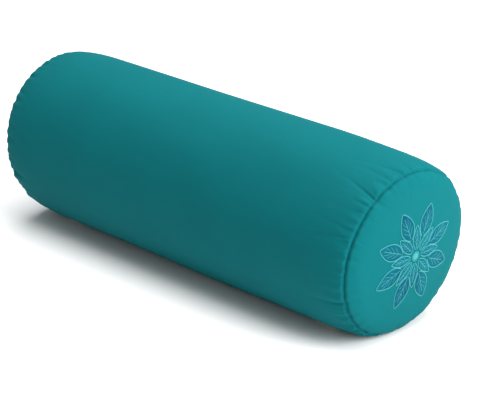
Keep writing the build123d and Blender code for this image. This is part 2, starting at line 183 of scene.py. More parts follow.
def slack(x, angle, seed, height):
    """Gentle long swells of loosely filled cloth: a sum of ten low waves, which fades beside the zips.

    Each wave is cos(turns * angle + phase) * cos(along * x + phase)."""
    rng = np.random.default_rng(seed)
    total = np.zeros(np.broadcast(x, angle).shape)
    for _ in range(10):
        turns = rng.integers(2, 9)
        along = rng.uniform(4, 22)
        phase = rng.uniform(0, FULL_TURN, 2)
        total += rng.normal() * np.cos(turns * angle + phase[0]) * np.cos(along * x + phase[1])
    for zip_angle in (COVER_ZIP_ANGLE, LINER_ZIP_ANGLE):
        total = total * smooth_step((np.abs(angle_from(angle, zip_angle)) - 0.15) / 0.35)
    return height * total / 3


def grid_uv(along, across):
    """The UV map of a grid, from the distances of its rows and of its columns."""
    return np.stack(np.broadcast_arrays(along[:, None], across[None]), axis=-1)


class Cloth:
    """Collects grids of points into one mesh, each grid with its UV map in metres of cloth."""

    def __init__(self):
        self.points, self.faces, self.uvs, self.used = [], [], [], 0

    def add_grid(self, points, uv, wrap=False, keep=None, flip=False):
        """A grid of quads. With wrap the last column joins the first, and uv has one more column."""
        rows, columns = points.shape[:2]
        index = self.used + np.arange(rows * columns).reshape(rows, columns)
        uv_index = np.arange(uv.shape[0] * uv.shape[1]).reshape(uv.shape[:2])
        if wrap:
            index = np.concatenate([index, index[:, :1]], axis=1)
        corners = [slice(None, -1), slice(1, None)]
        order = [(0, 0), (1, 0), (1, 1), (0, 1)] if flip else [(0, 0), (0, 1), (1, 1), (1, 0)]
        quads = np.stack([index[corners[a], corners[b]] for a, b in order], axis=-1)
        uv_quads = np.stack([uv_index[corners[a], corners[b]] for a, b in order], axis=-1)
        if keep is not None:
            quads, uv_quads = quads[keep], uv_quads[keep]
        self.points.append(points.reshape(-1, 3))
        self.faces.append(quads.reshape(-1, 4))
        self.uvs.append(uv.reshape(-1, 2)[uv_quads.reshape(-1)])
        self.used += rows * columns

    def make(self, name, material, thickness=None):
        """Writes the collected grids into a mesh object, in the scene."""
        points = np.concatenate(self.points)
        faces = np.concatenate(self.faces)
        mesh = bpy.data.meshes.new(name)
        mesh.vertices.add(len(points))
        mesh.vertices.foreach_set("co", points.reshape(-1).astype(np.float32))
        mesh.loops.add(faces.size)
        mesh.loops.foreach_set("vertex_index", faces.reshape(-1).astype(np.int32))
        mesh.polygons.add(len(faces))
        mesh.polygons.foreach_set("loop_start", np.arange(0, faces.size, 4, dtype=np.int32))
        mesh.polygons.foreach_set("use_smooth", np.ones(len(faces), bool))
        layer = mesh.uv_layers.new(name="cloth")
        layer.data.foreach_set("uv", np.concatenate(self.uvs).reshape(-1).astype(np.float32))
        mesh.update(calc_edges=True)
        mesh.validate()
        weld(mesh)
        mesh.materials.append(material)
        made = bpy.data.objects.new(name, mesh)
        bpy.context.scene.collection.objects.link(made)
        if thickness:
            solid = made.modifiers.new("cloth thickness", "SOLIDIFY")
            solid.thickness = thickness
            solid.offset = -1
        return made


def weld(mesh):
    """Merges points that lie on each other, such as a grid's poles, and drops faces left without area."""
    work = bmesh.new()
    work.from_mesh(mesh)
    bmesh.ops.remove_doubles(work, verts=work.verts, dist=2e-6)
    bmesh.ops.dissolve_degenerate(work, dist=1e-7, edges=work.edges)
    work.to_mesh(mesh)
    work.free()


def finish_piece(piece, body, nodes=()):
    """Rides a piece on its body and hides the plain solids that it stands for."""
    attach(piece, body)
    if nodes:
        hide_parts(*nodes)


def sewn_piece(cloth, name, slot, nodes=(), thickness=None):
    """Makes a piece of the bolster's own body from its grids, with the material of its slot."""
    piece = cloth.make(name, material_for(slot), thickness)
    finish_piece(piece, "bolster", nodes)
    return piece


def unit(vectors):
    """Vectors scaled to length 1."""
    return vectors / np.maximum(np.linalg.norm(vectors, axis=-1, keepdims=True), 1e-12)


def tube(path, up, wide, high, sides, closed):
    """A thread along a path: an ellipse of half-widths wide and high, carried square to the path.

    Each ring is path + wide * cos(t) * across + high * sin(t) * upright, where across is the path's
    direction crossed with up. The path's ends are drawn to a point unless it is closed."""
    if closed:
        ahead = np.roll(path, -1, 0) - np.roll(path, 1, 0)
    else:
        ahead = np.gradient(path, axis=0)
    ahead = unit(ahead)
    across = unit(np.cross(ahead, up))
    upright = np.cross(across, ahead)
    turn = turns_round(sides)
    taper = np.ones((len(path), 1, 1))
    if not closed:
        taper[[0, -1]] = 0.0
    sideways = (wide * np.cos(turn))[:, None] * across[:, None]
    raised = (high * np.sin(turn))[:, None] * upright[:, None]
    return path[:, None] + taper * (sideways + raised)


def add_tube(cloth, path, up, wide, high, sides=6, closed=False):
    """Adds a thread's tube to a mesh, with UVs along and round it, in metres."""
    rings = tube(path, up, wide, high, sides, closed)
    steps = np.linalg.norm(np.diff(path, axis=0), axis=1)
    along = np.concatenate([[0], np.cumsum(steps)])
    if closed:
        rings = np.concatenate([rings, rings[:1]])
        along = np.append(along, along[-1] + np.linalg.norm(path[0] - path[-1]))
    round_it = np.linspace(0, 1, sides + 1) * FULL_TURN * wide
    cloth.add_grid(rings, grid_uv(along, round_it), wrap=True, flip=True)


# ---------------------------------------------------------------- materials


def new_group(name, inputs, outputs):
    """An empty shader node group with named sockets."""
    group = bpy.data.node_groups.new(name, "ShaderNodeTree")
    for label, kind, default in inputs:
        socket = group.interface.new_socket(label, in_out="INPUT", socket_type=kind)
        if default is not None:
            socket.default_value = default
    for label, kind in outputs:
        group.interface.new_socket(label, in_out="OUTPUT", socket_type=kind)
    start = group.nodes.new("NodeGroupInput")
    end = group.nodes.new("NodeGroupOutput")
    return group, start, end


def calculate(tree, operation, *values, clamp=False):
    """A Math node fed by sockets or numbers. Returns its output."""
    node = tree.nodes.new("ShaderNodeMath")
    node.operation = operation
    node.use_clamp = clamp
    for socket, value in zip(node.inputs, values):
        if isinstance(value, (int, float)):
            socket.default_value = value
        else:
            tree.links.new(value, socket)
    return node.outputs[0]


def noise(tree, vector, scale, detail=3.0, roughness=0.5):
    """A Noise texture's value."""
    node = tree.nodes.new("ShaderNodeTexNoise")
    node.inputs["Scale"].default_value = scale
    node.inputs["Detail"].default_value = detail
    node.inputs["Roughness"].default_value = roughness
    tree.links.new(vector, node.inputs["Vector"])
    return node.outputs["Fac"]


def weave_group():
    """Plain weave: the height of crossing yarns, and a mask of the gaps between them, from cloth UVs."""
    found = bpy.data.node_groups.get("plain weave")
    if found:
        return found
    group, start, end = new_group(
        "plain weave",
        [("Cloth", "NodeSocketVector", None), ("Yarns per Metre", "NodeSocketFloat", 2200.0)],
        [("Height", "NodeSocketFloat"), ("Gaps", "NodeSocketFloat")],
    )
    split = group.nodes.new("ShaderNodeSeparateXYZ")
    group.links.new(start.outputs["Cloth"], split.inputs[0])
    turns = calculate(group, "MULTIPLY", start.outputs["Yarns per Metre"], math.pi)
    across = calculate(group, "MULTIPLY", split.outputs[0], turns)
    along = calculate(group, "MULTIPLY", split.outputs[1], turns)
    warp = calculate(group, "SINE", across)
    weft = calculate(group, "SINE", along)
    over = calculate(group, "MULTIPLY", warp, weft)
    rise = calculate(group, "MULTIPLY_ADD", over, 0.35, 0.5)
    crossing = calculate(group, "ABSOLUTE", over)
    crown = calculate(group, "MULTIPLY_ADD", crossing, 0.5, 0.5)
    height = calculate(group, "MULTIPLY", rise, crown)
    yarn = calculate(group, "POWER", crossing, 0.4)
    gaps = calculate(group, "SUBTRACT", 1.0, yarn)
    group.links.new(height, end.inputs["Height"])
    group.links.new(gaps, end.inputs["Gaps"])
    return group


def drift_group():
    """Slow changes of tone and fine nap over a cloth, from Object coordinates."""
    found = bpy.data.node_groups.get("cloth drift")
    if found:
        return found
    group, start, end = new_group(
        "cloth drift",
        [("Place", "NodeSocketVector", None), ("Patch Scale", "NodeSocketFloat", 14.0)],
        [("Tone", "NodeSocketFloat"), ("Creases", "NodeSocketFloat"), ("Nap", "NodeSocketFloat")],
    )
    broad = group.nodes.new("ShaderNodeTexNoise")
    broad.inputs["Detail"].default_value = 4.0
    group.links.new(start.outputs["Place"], broad.inputs["Vector"])
    group.links.new(start.outputs["Patch Scale"], broad.inputs["Scale"])
    creases = noise(group, start.outputs["Place"], 34.0, 2.0, 0.45)
    nap = noise(group, start.outputs["Place"], 900.0, 2.0, 0.6)
    group.links.new(broad.outputs["Fac"], end.inputs["Tone"])
    group.links.new(creases, end.inputs["Creases"])
    group.links.new(nap, end.inputs["Nap"])
    return group


def twist_group():
    """Twisted or satin-laid thread: slanting ridges from UVs along and round it."""
    found = bpy.data.node_groups.get("thread twist")
    if found:
        return found
    group, start, end = new_group(
        "thread twist",
        [
            ("Thread", "NodeSocketVector", None),
            ("Ridges per Metre", "NodeSocketFloat", 1500.0),
            ("Slant", "NodeSocketFloat", 1.0),
        ],
        [("Ridge", "NodeSocketFloat")],
    )
    split = group.nodes.new("ShaderNodeSeparateXYZ")
    group.links.new(start.outputs["Thread"], split.inputs[0])
    slanted = calculate(group, "MULTIPLY_ADD", split.outputs[1], start.outputs["Slant"], split.outputs[0])
    turns = calculate(group, "MULTIPLY", start.outputs["Ridges per Metre"], FULL_TURN)
    wave = calculate(group, "SINE", calculate(group, "MULTIPLY", slanted, turns))
    group.links.new(calculate(group, "MULTIPLY_ADD", wave, 0.5, 0.5), end.inputs["Ridge"])
    return group


def use_group(tree, group, **values):
    """Places a group in a material with its own values."""
    node = tree.nodes.new("ShaderNodeGroup")
    node.node_tree = group
    for label, value in values.items():
        node.inputs[label.replace("_", " ")].default_value = value
    return node


def new_material(name):
    """An empty material with its Principled shader. Returns it with its tree, shader and coordinate node."""
    material = bpy.data.materials.new(name)
    material.use_nodes = True
    tree = material.node_tree
    shader = tree.nodes["Principled BSDF"]
    coordinates = tree.nodes.new("ShaderNodeTexCoord")
    return material, tree, shader, coordinates


def blend_colours(tree, factor, low, high):
    """A Mix node between two colours. Returns its output."""
    node = tree.nodes.new("ShaderNodeMix")
    node.data_type = "RGBA"
    node.inputs["A"].default_value = (*low, 1)
    node.inputs["B"].default_value = (*high, 1)
    tree.links.new(factor, node.inputs["Factor"])
    return node.outputs["Result"]


def shade(colour, share):
    """A colour made darker or lighter by a share."""
    return tuple(min(1.0, channel * share) for channel in colour)


def raise_surface(tree, shader, height, distance, strength):
    """Feeds a height through a Bump node to the shader's normal."""
    bump = tree.nodes.new("ShaderNodeBump")
    bump.inputs["Distance"].default_value = distance
    bump.inputs["Strength"].default_value = strength
    tree.links.new(height, bump.inputs["Height"])
    tree.links.new(bump.outputs["Normal"], shader.inputs["Normal"])


def woven_material(name, colour, yarns, sheen, crease, contrast=0.1):
    """Woven cloth: yarns, with painted shade in the gaps between them, a slow drift of tone, faint creases
    and a soft sheen.
    """
    material, tree, shader, coordinates = new_material(name)
    weave = use_group(tree, weave_group(), Yarns_per_Metre=float(yarns))
    drift = use_group(tree, drift_group())
    tree.links.new(coordinates.outputs["UV"], weave.inputs["Cloth"])
    tree.links.new(coordinates.outputs["Object"], drift.inputs["Place"])
    tone = calculate(tree, "MULTIPLY_ADD", drift.outputs["Nap"], 0.35, drift.outputs["Tone"])
    # Painted shade: the gaps between yarns are drawn darker in the base colour.
    tone = calculate(tree, "MULTIPLY_ADD", weave.outputs["Gaps"], -0.5, tone)
    result = blend_colours(tree, tone, shade(colour, 1 - contrast), shade(colour, 1 + contrast))
    tree.links.new(result, shader.inputs["Base Color"])
    rough = calculate(tree, "MULTIPLY_ADD", weave.outputs["Gaps"], 0.1, 0.8)
    tree.links.new(rough, shader.inputs["Roughness"])
    height = calculate(tree, "MULTIPLY_ADD", weave.outputs["Height"], 0.1, drift.outputs["Creases"])
    raise_surface(tree, shader, height, 1.2 * MM, crease)
    shader.inputs["Specular IOR Level"].default_value = 0.08
    shader.inputs["Sheen Weight"].default_value = sheen
    shader.inputs["Sheen Roughness"].default_value = 0.45
    shader.inputs["Sheen Tint"].default_value = (*shade(colour, 2.2), 1)
    return material


def thread_material(
    name, colour, ridges, slant=1.0, rough=0.6, sheen=0.3, depth=0.12, contrast=0.18, gloss=0.16, second=None
):
    """Thread: slanting ridges of its twist or its satin stitches, with painted light on their tops and
    painted shade in the grooves between them, and a soft gloss.

    A second colour shades into the first in broad patches, as in thread that is dyed unevenly."""
    material, tree, shader, coordinates = new_material(name)
    twist = use_group(tree, twist_group(), Ridges_per_Metre=float(ridges), Slant=float(slant))
    tree.links.new(coordinates.outputs["UV"], twist.inputs["Thread"])
    patches = noise(tree, coordinates.outputs["Object"], 260.0, 3.0)
    # Painted light and shade: the tops of the twist's ridges are drawn lighter and the grooves between them
    # darker.
    tone = calculate(tree, "MULTIPLY_ADD", patches, 0.6, twist.outputs["Ridge"])
    tone = calculate(tree, "MULTIPLY", tone, 0.7)
    result = blend_colours(tree, tone, shade(colour, 1 - contrast), shade(colour, 1 + contrast))
    if second:
        broad = noise(tree, coordinates.outputs["Object"], 26.0, 1.0)
        dyed = calculate(tree, "MULTIPLY_ADD", broad, 3.5, -1.5, clamp=True)
        mixed = tree.nodes.new("ShaderNodeMix")
        mixed.data_type = "RGBA"
        tree.links.new(dyed, mixed.inputs["Factor"])
        tree.links.new(result, mixed.inputs["A"])
        other = blend_colours(tree, tone, shade(second, 1 - contrast), shade(second, 1 + contrast))
        tree.links.new(other, mixed.inputs["B"])
        result = mixed.outputs["Result"]
    tree.links.new(result, shader.inputs["Base Color"])
    raise_surface(tree, shader, twist.outputs["Ridge"], depth * MM, 0.8)
    shader.inputs["Roughness"].default_value = rough
    shader.inputs["Specular IOR Level"].default_value = gloss
    shader.inputs["Sheen Weight"].default_value = sheen
    shader.inputs["Sheen Tint"].default_value = (*shade(colour, 1.8), 1)
    return material


def solid_material(name, colour, rough, metallic=0.0, grain=700.0, depth=0.05):
    """Moulded or cast stuff: a fine grain in its tone, its roughness and its surface."""
    material, tree, shader, coordinates = new_material(name)
    fine = noise(tree, coordinates.outputs["Object"], grain, 4.0)
    broad = noise(tree, coordinates.outputs["Object"], grain / 6, 3.0)
    result = blend_colours(tree, broad, shade(colour, 0.92), shade(colour, 1.08))
    tree.links.new(result, shader.inputs["Base Color"])
    roughness = calculate(tree, "MULTIPLY_ADD", fine, 0.2, rough - 0.1)
    tree.links.new(roughness, shader.inputs["Roughness"])
    raise_surface(tree, shader, fine, depth * MM, 0.5)
    shader.inputs["Metallic"].default_value = metallic
    return material


def husk_material(name, colour):
    """Loose grain husks: cells with light rims, and painted shade in the dark gaps between them."""
    material, tree, shader, coordinates = new_material(name)
    cells = tree.nodes.new("ShaderNodeTexVoronoi")
    cells.feature = "F1"
    cells.inputs["Scale"].default_value = 190.0
    edges = tree.nodes.new("ShaderNodeTexVoronoi")
    edges.feature = "DISTANCE_TO_EDGE"
    edges.inputs["Scale"].default_value = 190.0
    for node in (cells, edges):
        tree.links.new(coordinates.outputs["Object"], node.inputs["Vector"])
    rim = calculate(tree, "MULTIPLY", edges.outputs["Distance"], 3.5, clamp=True)
    grey = tree.nodes.new("ShaderNodeRGBToBW")
    tree.links.new(cells.outputs["Color"], grey.inputs[0])
    # Painted shade: the colour darkens towards each cell's edge, in the gaps between husks.
    tone = calculate(tree, "MULTIPLY", rim, calculate(tree, "MULTIPLY_ADD", grey.outputs[0], 0.7, 0.3))
    result = blend_colours(tree, tone, shade(colour, 0.35), shade(colour, 1.35))
    tree.links.new(result, shader.inputs["Base Color"])
    raise_surface(tree, shader, rim, 1.0 * MM, 0.9)
    shader.inputs["Roughness"].default_value = 0.75
    return material


MATERIALS = {}


def material_for(slot):
    """The material of one of the record's slots, made once."""
    if slot in MATERIALS:
        return MATERIALS[slot]
    colours = bpy.context.scene.bolster_colours
    cover = tuple(colours.cover)
    liner = tuple(colours.liner)
    petal = tuple(colours.petal)
    edge = tuple(colours.petal_edge)
    makers = {
        "cover_cotton": lambda: woven_material("cover cotton", cover, 1800, 0.12, 0.45, 0.08),
        "cover_thread": lambda: thread_material("cover thread", shade(cover, 0.8), 900),
        "cover_zip_tape": lambda: woven_material("cover zip tape", shade(cover, 0.75), 1500, 0.2, 0.25),
        "cover_zip_coil": lambda: solid_material("cover zip coil", shade(cover, 0.85), 0.45),
        "zip_metal": lambda: solid_material(
            "zip metal", (0.36, 0.365, 0.37), 0.3, metallic=1.0, grain=500.0, depth=0.02
        ),
        "embroidery_petal_thread": lambda: thread_material(
            "petal thread", petal, 1100, slant=0.0, rough=0.62, sheen=0.0, depth=0.18, contrast=0.3,
            gloss=0.04, second=tuple(colours.petal_shade),
        ),
        "embroidery_edge_thread": lambda: thread_material(
            "petal edge thread", edge, 1200, slant=0.6, rough=0.5, sheen=0.05, depth=0.15, contrast=0.2,
            gloss=0.1,
        ),
        "backing_sheet": lambda: woven_material("backing sheet", (0.78, 0.78, 0.76), 900, 0.1, 0.5),
        "label_tape": lambda: woven_material("label tape", (0.82, 0.82, 0.8), 3500, 0.1, 0.1),
        "liner_cotton": lambda: woven_material("liner cotton", liner, 1800, 0.2, 0.3, 0.08),
        "liner_thread": lambda: thread_material("liner thread", shade(liner, 0.95), 900),
        "liner_zip_tape": lambda: woven_material("liner zip tape", shade(liner, 0.9), 1500, 0.2, 0.25),
        "liner_zip_coil": lambda: solid_material("liner zip coil", shade(liner, 0.9), 0.45),
        "husks": lambda: husk_material("grain husks", (0.36, 0.2, 0.08)),
    }
    MATERIALS[slot] = makers[slot]()
    return MATERIALS[slot]


def dress_node(node):
    """Gives a CAD node the material of its slot."""
    slots = {row["node"]: row["material_slot"] for row in frame["record"]["subparts"]}
    data = frame["nodes"][node].data
    data.materials.clear()
    data.materials.append(material_for(slots[node]))


def softened_copy(node, name, width):
    """A copy of a CAD node with its loose triangles merged and its sharp edges rounded."""
    mesh = frame["nodes"][node].data.copy()
    work = bmesh.new()
    work.from_mesh(mesh)
    bmesh.ops.remove_doubles(work, verts=work.verts, dist=1e-6)
    bmesh.ops.dissolve_limit(
        work, angle_limit=math.radians(1), verts=work.verts, edges=work.edges, delimit={"NORMAL"}
    )
    work.to_mesh(mesh)
    work.free()
    mesh.materials.clear()
    piece = bpy.data.objects.new(name, mesh)
    bpy.context.scene.collection.objects.link(piece)
    mesh.polygons.foreach_set("use_smooth", np.ones(len(mesh.polygons), bool))
    bevel = piece.modifiers.new("rounded edges", "BEVEL")
    bevel.width = width
    bevel.segments = 3
    bevel.limit_method = "ANGLE"
    bevel.angle_limit = math.radians(40)
    bevel.harden_normals = True
    return piece


# ---------------------------------------------------------------- cloth of the cover and the inner casing

BODY_INNER_ROWS = np.linspace(LINER_OPENING_ROW, OPENING_ROW, 26)
SEAM_ROWS = np.array([5.0, 3.7, 2.6, 1.7, 1.0, 0.45, 0.0]) * MM  # distances from the seam
CAP_RIM_ROWS = np.array([0.5, 1.1, 1.9, 2.9, 4.2, 5.8, 7.8, 10.0]) * MM
CAP_HELD_RADIUS = 72 * MM  # the embroidered middle, which its backing keeps smooth
GROOVE_WIDTH = 1.05 * MM
SWELL = 0.9 * MM  # height of the loose cloth's long swells
SWELL_SEED = 5
FLOOR_GAP = 0.05 * MM
RELAX_STEPS = 30
LARGEST_MOVE = 6 * MM
WEIGHT_LEVELS = 40  # steps that a simulation weight is rounded to


def end_rows(casing):
    """The rows of one end's cloth, from the body over the seam on to the cap.

    Returns their distances along the axis, radii and distances from the seam, and how many are the body's."""
    to_seam = np.linspace(OPENING_ROW + 2.8 * MM, casing.seam_x - 7.4 * MM, 20)
    body_x = np.concatenate([BODY_INNER_ROWS, to_seam, casing.seam_x - SEAM_ROWS])
    rim = casing.cap_radius - CAP_RIM_ROWS
    to_middle = np.linspace(rim[-1] - 3.2 * MM, CAP_HELD_RADIUS - 6 * MM, 9)
    cap_r = np.concatenate([rim, to_middle])
    x = np.concatenate([body_x, dome_x(casing, cap_r)])
    radius = np.concatenate([shoulder_radius(casing, body_x), cap_r])
    from_seam = np.concatenate([body_x - casing.seam_x, casing.cap_radius - cap_r])
    return x, radius, from_seam, len(body_x)


def pleats(angle, seed, low, high):
    """Irregular waves round the seam: a sum of cosines from a low to a high count, with random phases."""
    rng = np.random.default_rng(seed)
    total = np.zeros_like(angle)
    for turns in range(low, high):
        total += rng.normal() * np.cos(turns * angle + rng.uniform(0, FULL_TURN))
    return total / math.sqrt(high - low)


def gather_amount(angle, seed):
    """How strongly the cloth is gathered round the seam: uneven, between 0.45 and 1.25."""
    return np.clip(0.85 + 0.3 * pleats(angle, seed, 1, 5), 0.45, 1.25)


def end_cloth(casing, end, seed, height):
    """One end's cloth before it relaxes: the settled shape, with seeded pleats that fade from the seam."""
    x, radius, from_seam, body_rows = end_rows(casing)
    angle = np.broadcast_to(column_angles(casing), (len(x), casing.columns))
    x, radius, from_seam = (values[:, None] + np.zeros_like(angle) for values in (x, radius, from_seam))
    far = np.abs(from_seam)
    body_fade = (1 - np.exp(-far / (2 * MM))) * np.exp(-far / (15 * MM)) * (from_seam < 0)
    cap_fade = 0.4 * np.exp(-far / (7 * MM)) * (from_seam > 0)
    waves = pleats(angle, seed, 18, 60) * gather_amount(angle, seed + 1)
    swell = slack(end * x, angle, SWELL_SEED, SWELL) * (from_seam < 0) * (1 - np.exp(-far / (40 * MM)))
    radius = radius + height * (body_fade + cap_fade) * waves + swell
    return settle(casing, x, radius, angle, end), from_seam, angle, body_rows


def relaxed(points, held, full, ease, seed, end):
    """Lets one end's cloth swell and wrinkle by cloth simulation. Returns where its points come to rest.

    Cloth near the seam is cut fuller than its place, so it gathers. Held points stay where they are. Every
    second column is simulated, and the others move by the 4-point mean (9(b + c) - a - d) / 16. The move
    is at most 6 mm. It is scaled by the ease, from 0 to 1, so that it fades out towards the held cloth."""
    rng = np.random.default_rng(seed)
    coarse, held, full = points[:, ::2], held[:, ::2], full[:, ::2]
    rows, columns = held.shape
    start = coarse + rng.normal(size=coarse.shape) * 0.05 * MM * (1 - held[..., None])
    work = Cloth()
    work.add_grid(start, np.zeros((rows, columns + 1, 2)), wrap=True, flip=end < 0)
    mesh = bpy.data.meshes.new("relaxing cloth")
    mesh.from_pydata(work.points[0].tolist(), [], work.faces[0].tolist())
    cloth = bpy.data.objects.new("relaxing cloth", mesh)
    bpy.context.scene.collection.objects.link(cloth)
    for name, weights in (("held", held), ("full", full)):
        group = cloth.vertex_groups.new(name=name)
        levels = np.round(weights.reshape(-1) * WEIGHT_LEVELS).astype(int)
        for level in np.unique(levels[levels > 0]):
            group.add(np.flatnonzero(levels == level).tolist(), level / WEIGHT_LEVELS, "REPLACE")
    simulation = cloth.modifiers.new("relax", "CLOTH")
    settings = simulation.settings
    settings.quality = 6
    settings.mass = 0.3
    settings.tension_stiffness = settings.compression_stiffness = 25
    settings.shear_stiffness = 8
    settings.bending_stiffness = 0.06
    settings.tension_damping = settings.compression_damping = 8
    settings.shear_damping = 5
    settings.air_damping = 4
    settings.vertex_group_mass = "held"
    settings.use_pressure = True
    settings.uniform_pressure_force = 2.0
    settings.effector_weights.gravity = 0
    settings.vertex_group_shrink = "full"
    settings.shrink_min = 0.0
    settings.shrink_max = -0.13
    for step in range(RELAX_STEPS):
        bpy.context.scene.frame_set(step + 1)
    result = cloth.evaluated_get(bpy.context.evaluated_depsgraph_get())
    flat = np.zeros(coarse.size, np.float32)
    result.data.vertices.foreach_get("co", flat)
    bpy.context.scene.frame_set(1)
    bpy.data.objects.remove(cloth)
    bpy.data.meshes.remove(mesh)
    moved = flat.reshape(coarse.shape) - coarse
    far = np.linalg.norm(moved, axis=-1, keepdims=True)
    moved = moved * np.minimum(1, LARGEST_MOVE / np.maximum(far, 1e-9))
    between = (9 * (moved + np.roll(moved, -1, 1)) - np.roll(moved, 1, 1) - np.roll(moved, -2, 1)) / 16
    after = points + ease[..., None] * np.stack([moved, between], axis=2).reshape(points.shape)
    after[..., 2] = np.maximum(after[..., 2], FLOOR_GAP)
    return after


def grid_normals(points, end):
    """Outward normals of an end's cloth: the step round it crossed with the step along it."""
    round_it = np.roll(points, -1, 1) - np.roll(points, 1, 1)
    return end * unit(np.cross(round_it, np.gradient(points, axis=0)))


def gathers(from_seam, angle, radius, seed):
    """Short folds that run out from a seam, as offsets along the cloth's normal.

    A fold is a crease -h * exp(-|s| / w), where s is the distance round the seam from the fold's line. It
    fades as exp(-(d / L)^1.5) with the distance d from the seam. Depth h, width w, length L and slant
    differ from fold to fold, and the folds are shorter and shallower on the cap. Between them the cloth
    stands up by a bell-shaped puff."""
    rng = np.random.default_rng(seed + 2)
    folds = chosen_sizes().gathers
    place = (np.arange(folds) + rng.uniform(-0.45, 0.45, folds)) * FULL_TURN / folds
    amount = gather_amount(place, seed + 1)
    longer = rng.uniform(0, 1, folds) ** 5
    length = (7 + 9 * rng.uniform(0, 1, folds) + 28 * longer) * MM
    height = (0.6 + 1.8 * rng.uniform(0, 1, folds) ** 1.5 + 1.8 * longer) * amount * MM
    width = rng.uniform(1.5, 2.6, folds) * MM
    slant = rng.uniform(-0.35, 0.35, folds)
    body = from_seam[..., None] < 0
    far = np.abs(from_seam)[..., None]
    length = np.where(body, length, 0.45 * length)
    height = np.where(body, height, 0.4 * height)
    aside = np.abs(angle_from(angle[..., None], place) * radius - slant * far)
    crease = np.exp(-aside / (width * (0.8 + 0.9 * far / length)))
    fade = np.exp(-((far / length) ** 1.5)) * (1 - 0.8 * np.exp(-far / (0.7 * MM)))
    puff = 0.7 * MM * np.exp(-((from_seam / (9 * MM)) ** 2))
    return puff - (height * crease * fade).sum(axis=-1)


def seam_groove(points, from_seam, end):
    """Draws the cloth in at the seam: a narrow bell-shaped groove, slanting in and back from the fold."""
    depth = chosen_sizes().seam_depth * np.exp(-((from_seam / GROOVE_WIDTH) ** 2))[..., None]
    inward = -0.8 * unit(points * [0, 1, 1] - [0, 0, AXIS_HEIGHT])
    inward[..., 0] = np.where(from_seam <= 0, -0.35, -0.6) * end
    return points + depth * inward


ALLOWANCE_ROWS = np.array([0.3, 0.65, 1.0]) * ALLOWANCE


def turned_in(seam_row, shift):
    """The seam allowance behind a seam: rows that run from the seam towards the axis."""
    outward = unit(seam_row * [0, 1, 1] - [0, 0, AXIS_HEIGHT])
    rows = seam_row - ALLOWANCE_ROWS[:, None, None] * outward
    rows[..., 0] += shift
    return rows


def cloth_uv(x, angle_columns, radius):
    """UVs in metres for a rolled panel: along the bolster, and round it. Has the extra wrap column."""
    return grid_uv(x, np.append(angle_columns, angle_columns[0] + FULL_TURN) * radius)


def build_ends(casing, seeds, height, simulate):
    """Both ends' cloth, relaxed if asked, with their seam grooves: the body's rows, and the cap's."""
    made = {}
    for (end, _), seed in zip(ENDS, seeds):
        points, from_seam, angle, body_rows = end_cloth(casing, end, seed, height)
        if simulate:
            near_zip = np.abs(angle_from(angle, COVER_ZIP_ANGLE)) < math.radians(9)
            held = np.zeros(points.shape[:2])
            held[:2] = held[-2:] = 1
            held = np.maximum(held, near_zip * (np.abs(points[..., 0]) < OPENING_ROW + 9 * MM))
            amount = gather_amount(angle, seed + 1)
            body_full = np.exp(-((from_seam / (24 * MM)) ** 2)) * (from_seam < -0.3 * MM)
            cap_full = 0.4 * np.exp(-((from_seam / (11 * MM)) ** 2)) * (from_seam > 0.3 * MM)
            full = np.clip((body_full + cap_full) * amount / 1.25, 0, 1)
            inner = np.abs(points[..., 0]) - BODY_INNER_ROWS[0]
            centre = casing.cap_radius - CAP_HELD_RADIUS - from_seam
            ease = smooth_step(inner / (70 * MM)) * smooth_step(centre / (22 * MM))
            points = relaxed(points, held, full, ease, seed, end)
        offset = gathers(from_seam, angle, casing.cap_radius, seed)
        points = points + offset[..., None] * grid_normals(points, end)
        points[..., 2] = np.maximum(points[..., 2], casing.floor + FLOOR_GAP)
        points = seam_groove(points, from_seam, end)
        made[end] = (points[:body_rows], points[body_rows - 1 :])
    return made


def body_piece(casing, ends):
    """The rolled body panel: allowance, end, straight middle, end, allowance, with its zip opening."""
    columns = column_angles(casing)
    middle_x = np.linspace(-LINER_OPENING_ROW, LINER_OPENING_ROW, 39)[1:-1]
    middle_angle = np.broadcast_to(columns, (len(middle_x), casing.columns))
    along = middle_x[:, None] + np.zeros_like(middle_angle)
    swell = slack(along, middle_angle, SWELL_SEED, SWELL)
    middle = settle(casing, along, casing.radius + swell, middle_angle)
    middle[..., 0] *= np.sign(along)
    front, rear = ends[1][0], ends[-1][0]
    shift = casing.cloth / 2
    rows = [turned_in(rear[-1], shift)[::-1], rear[::-1], middle, front, turned_in(front[-1], -shift)]
    points = np.concatenate(rows)
    half_x = np.append(end_rows(casing)[0][: len(front)], casing.seam_x + ALLOWANCE_ROWS)
    x = np.concatenate([-half_x[::-1], middle_x, half_x])
    row_middle = (x[:-1] + x[1:]) / 2
    from_zip = np.arange(casing.columns) + 0.5 - casing.columns // 2
    opening = np.abs(from_zip) < OPENING_SHARE * casing.columns
    reach = OPENING_ROW if casing is COVER else LINER_OPENING_ROW
    keep = ~((np.abs(row_middle)[:, None] < reach) & opening[None])
    cloth = Cloth()
    cloth.add_grid(points, cloth_uv(x, columns, casing.radius), wrap=True, keep=keep)
    node = f"{casing.name}_body_panel"
    return sewn_piece(cloth, f"{node}_cloth", f"{casing.name}_cotton", [node], casing.cloth)


def cap_piece(casing, ends, end, place):
    """A domed end cap, from its turned-in allowance over the rim to its middle."""
    columns = column_angles(casing)
    outer = ends[end][1]
    inner_r = np.linspace(CAP_HELD_RADIUS - 6 * MM, 0, 13)[1:]
    radius = inner_r[:, None] + np.zeros((1, casing.columns))
    angle = np.broadcast_to(columns, radius.shape)
    inner = settle(casing, dome_x(casing, radius), radius, angle, end)
    turned = turned_in(outer[0], end * casing.cloth / 2)[::-1]
    points = np.concatenate([turned, outer, inner])
    flat = points[..., 1:] - [0, AXIS_HEIGHT]
    uv = np.concatenate([flat, flat[:, :1]], axis=1)
    cloth = Cloth()
    cloth.add_grid(points, uv, wrap=True, flip=end < 0)
    node = f"{casing.name}_{place}_cap"
    return sewn_piece(cloth, f"{node}_cloth", f"{casing.name}_cotton", [node], casing.cloth)


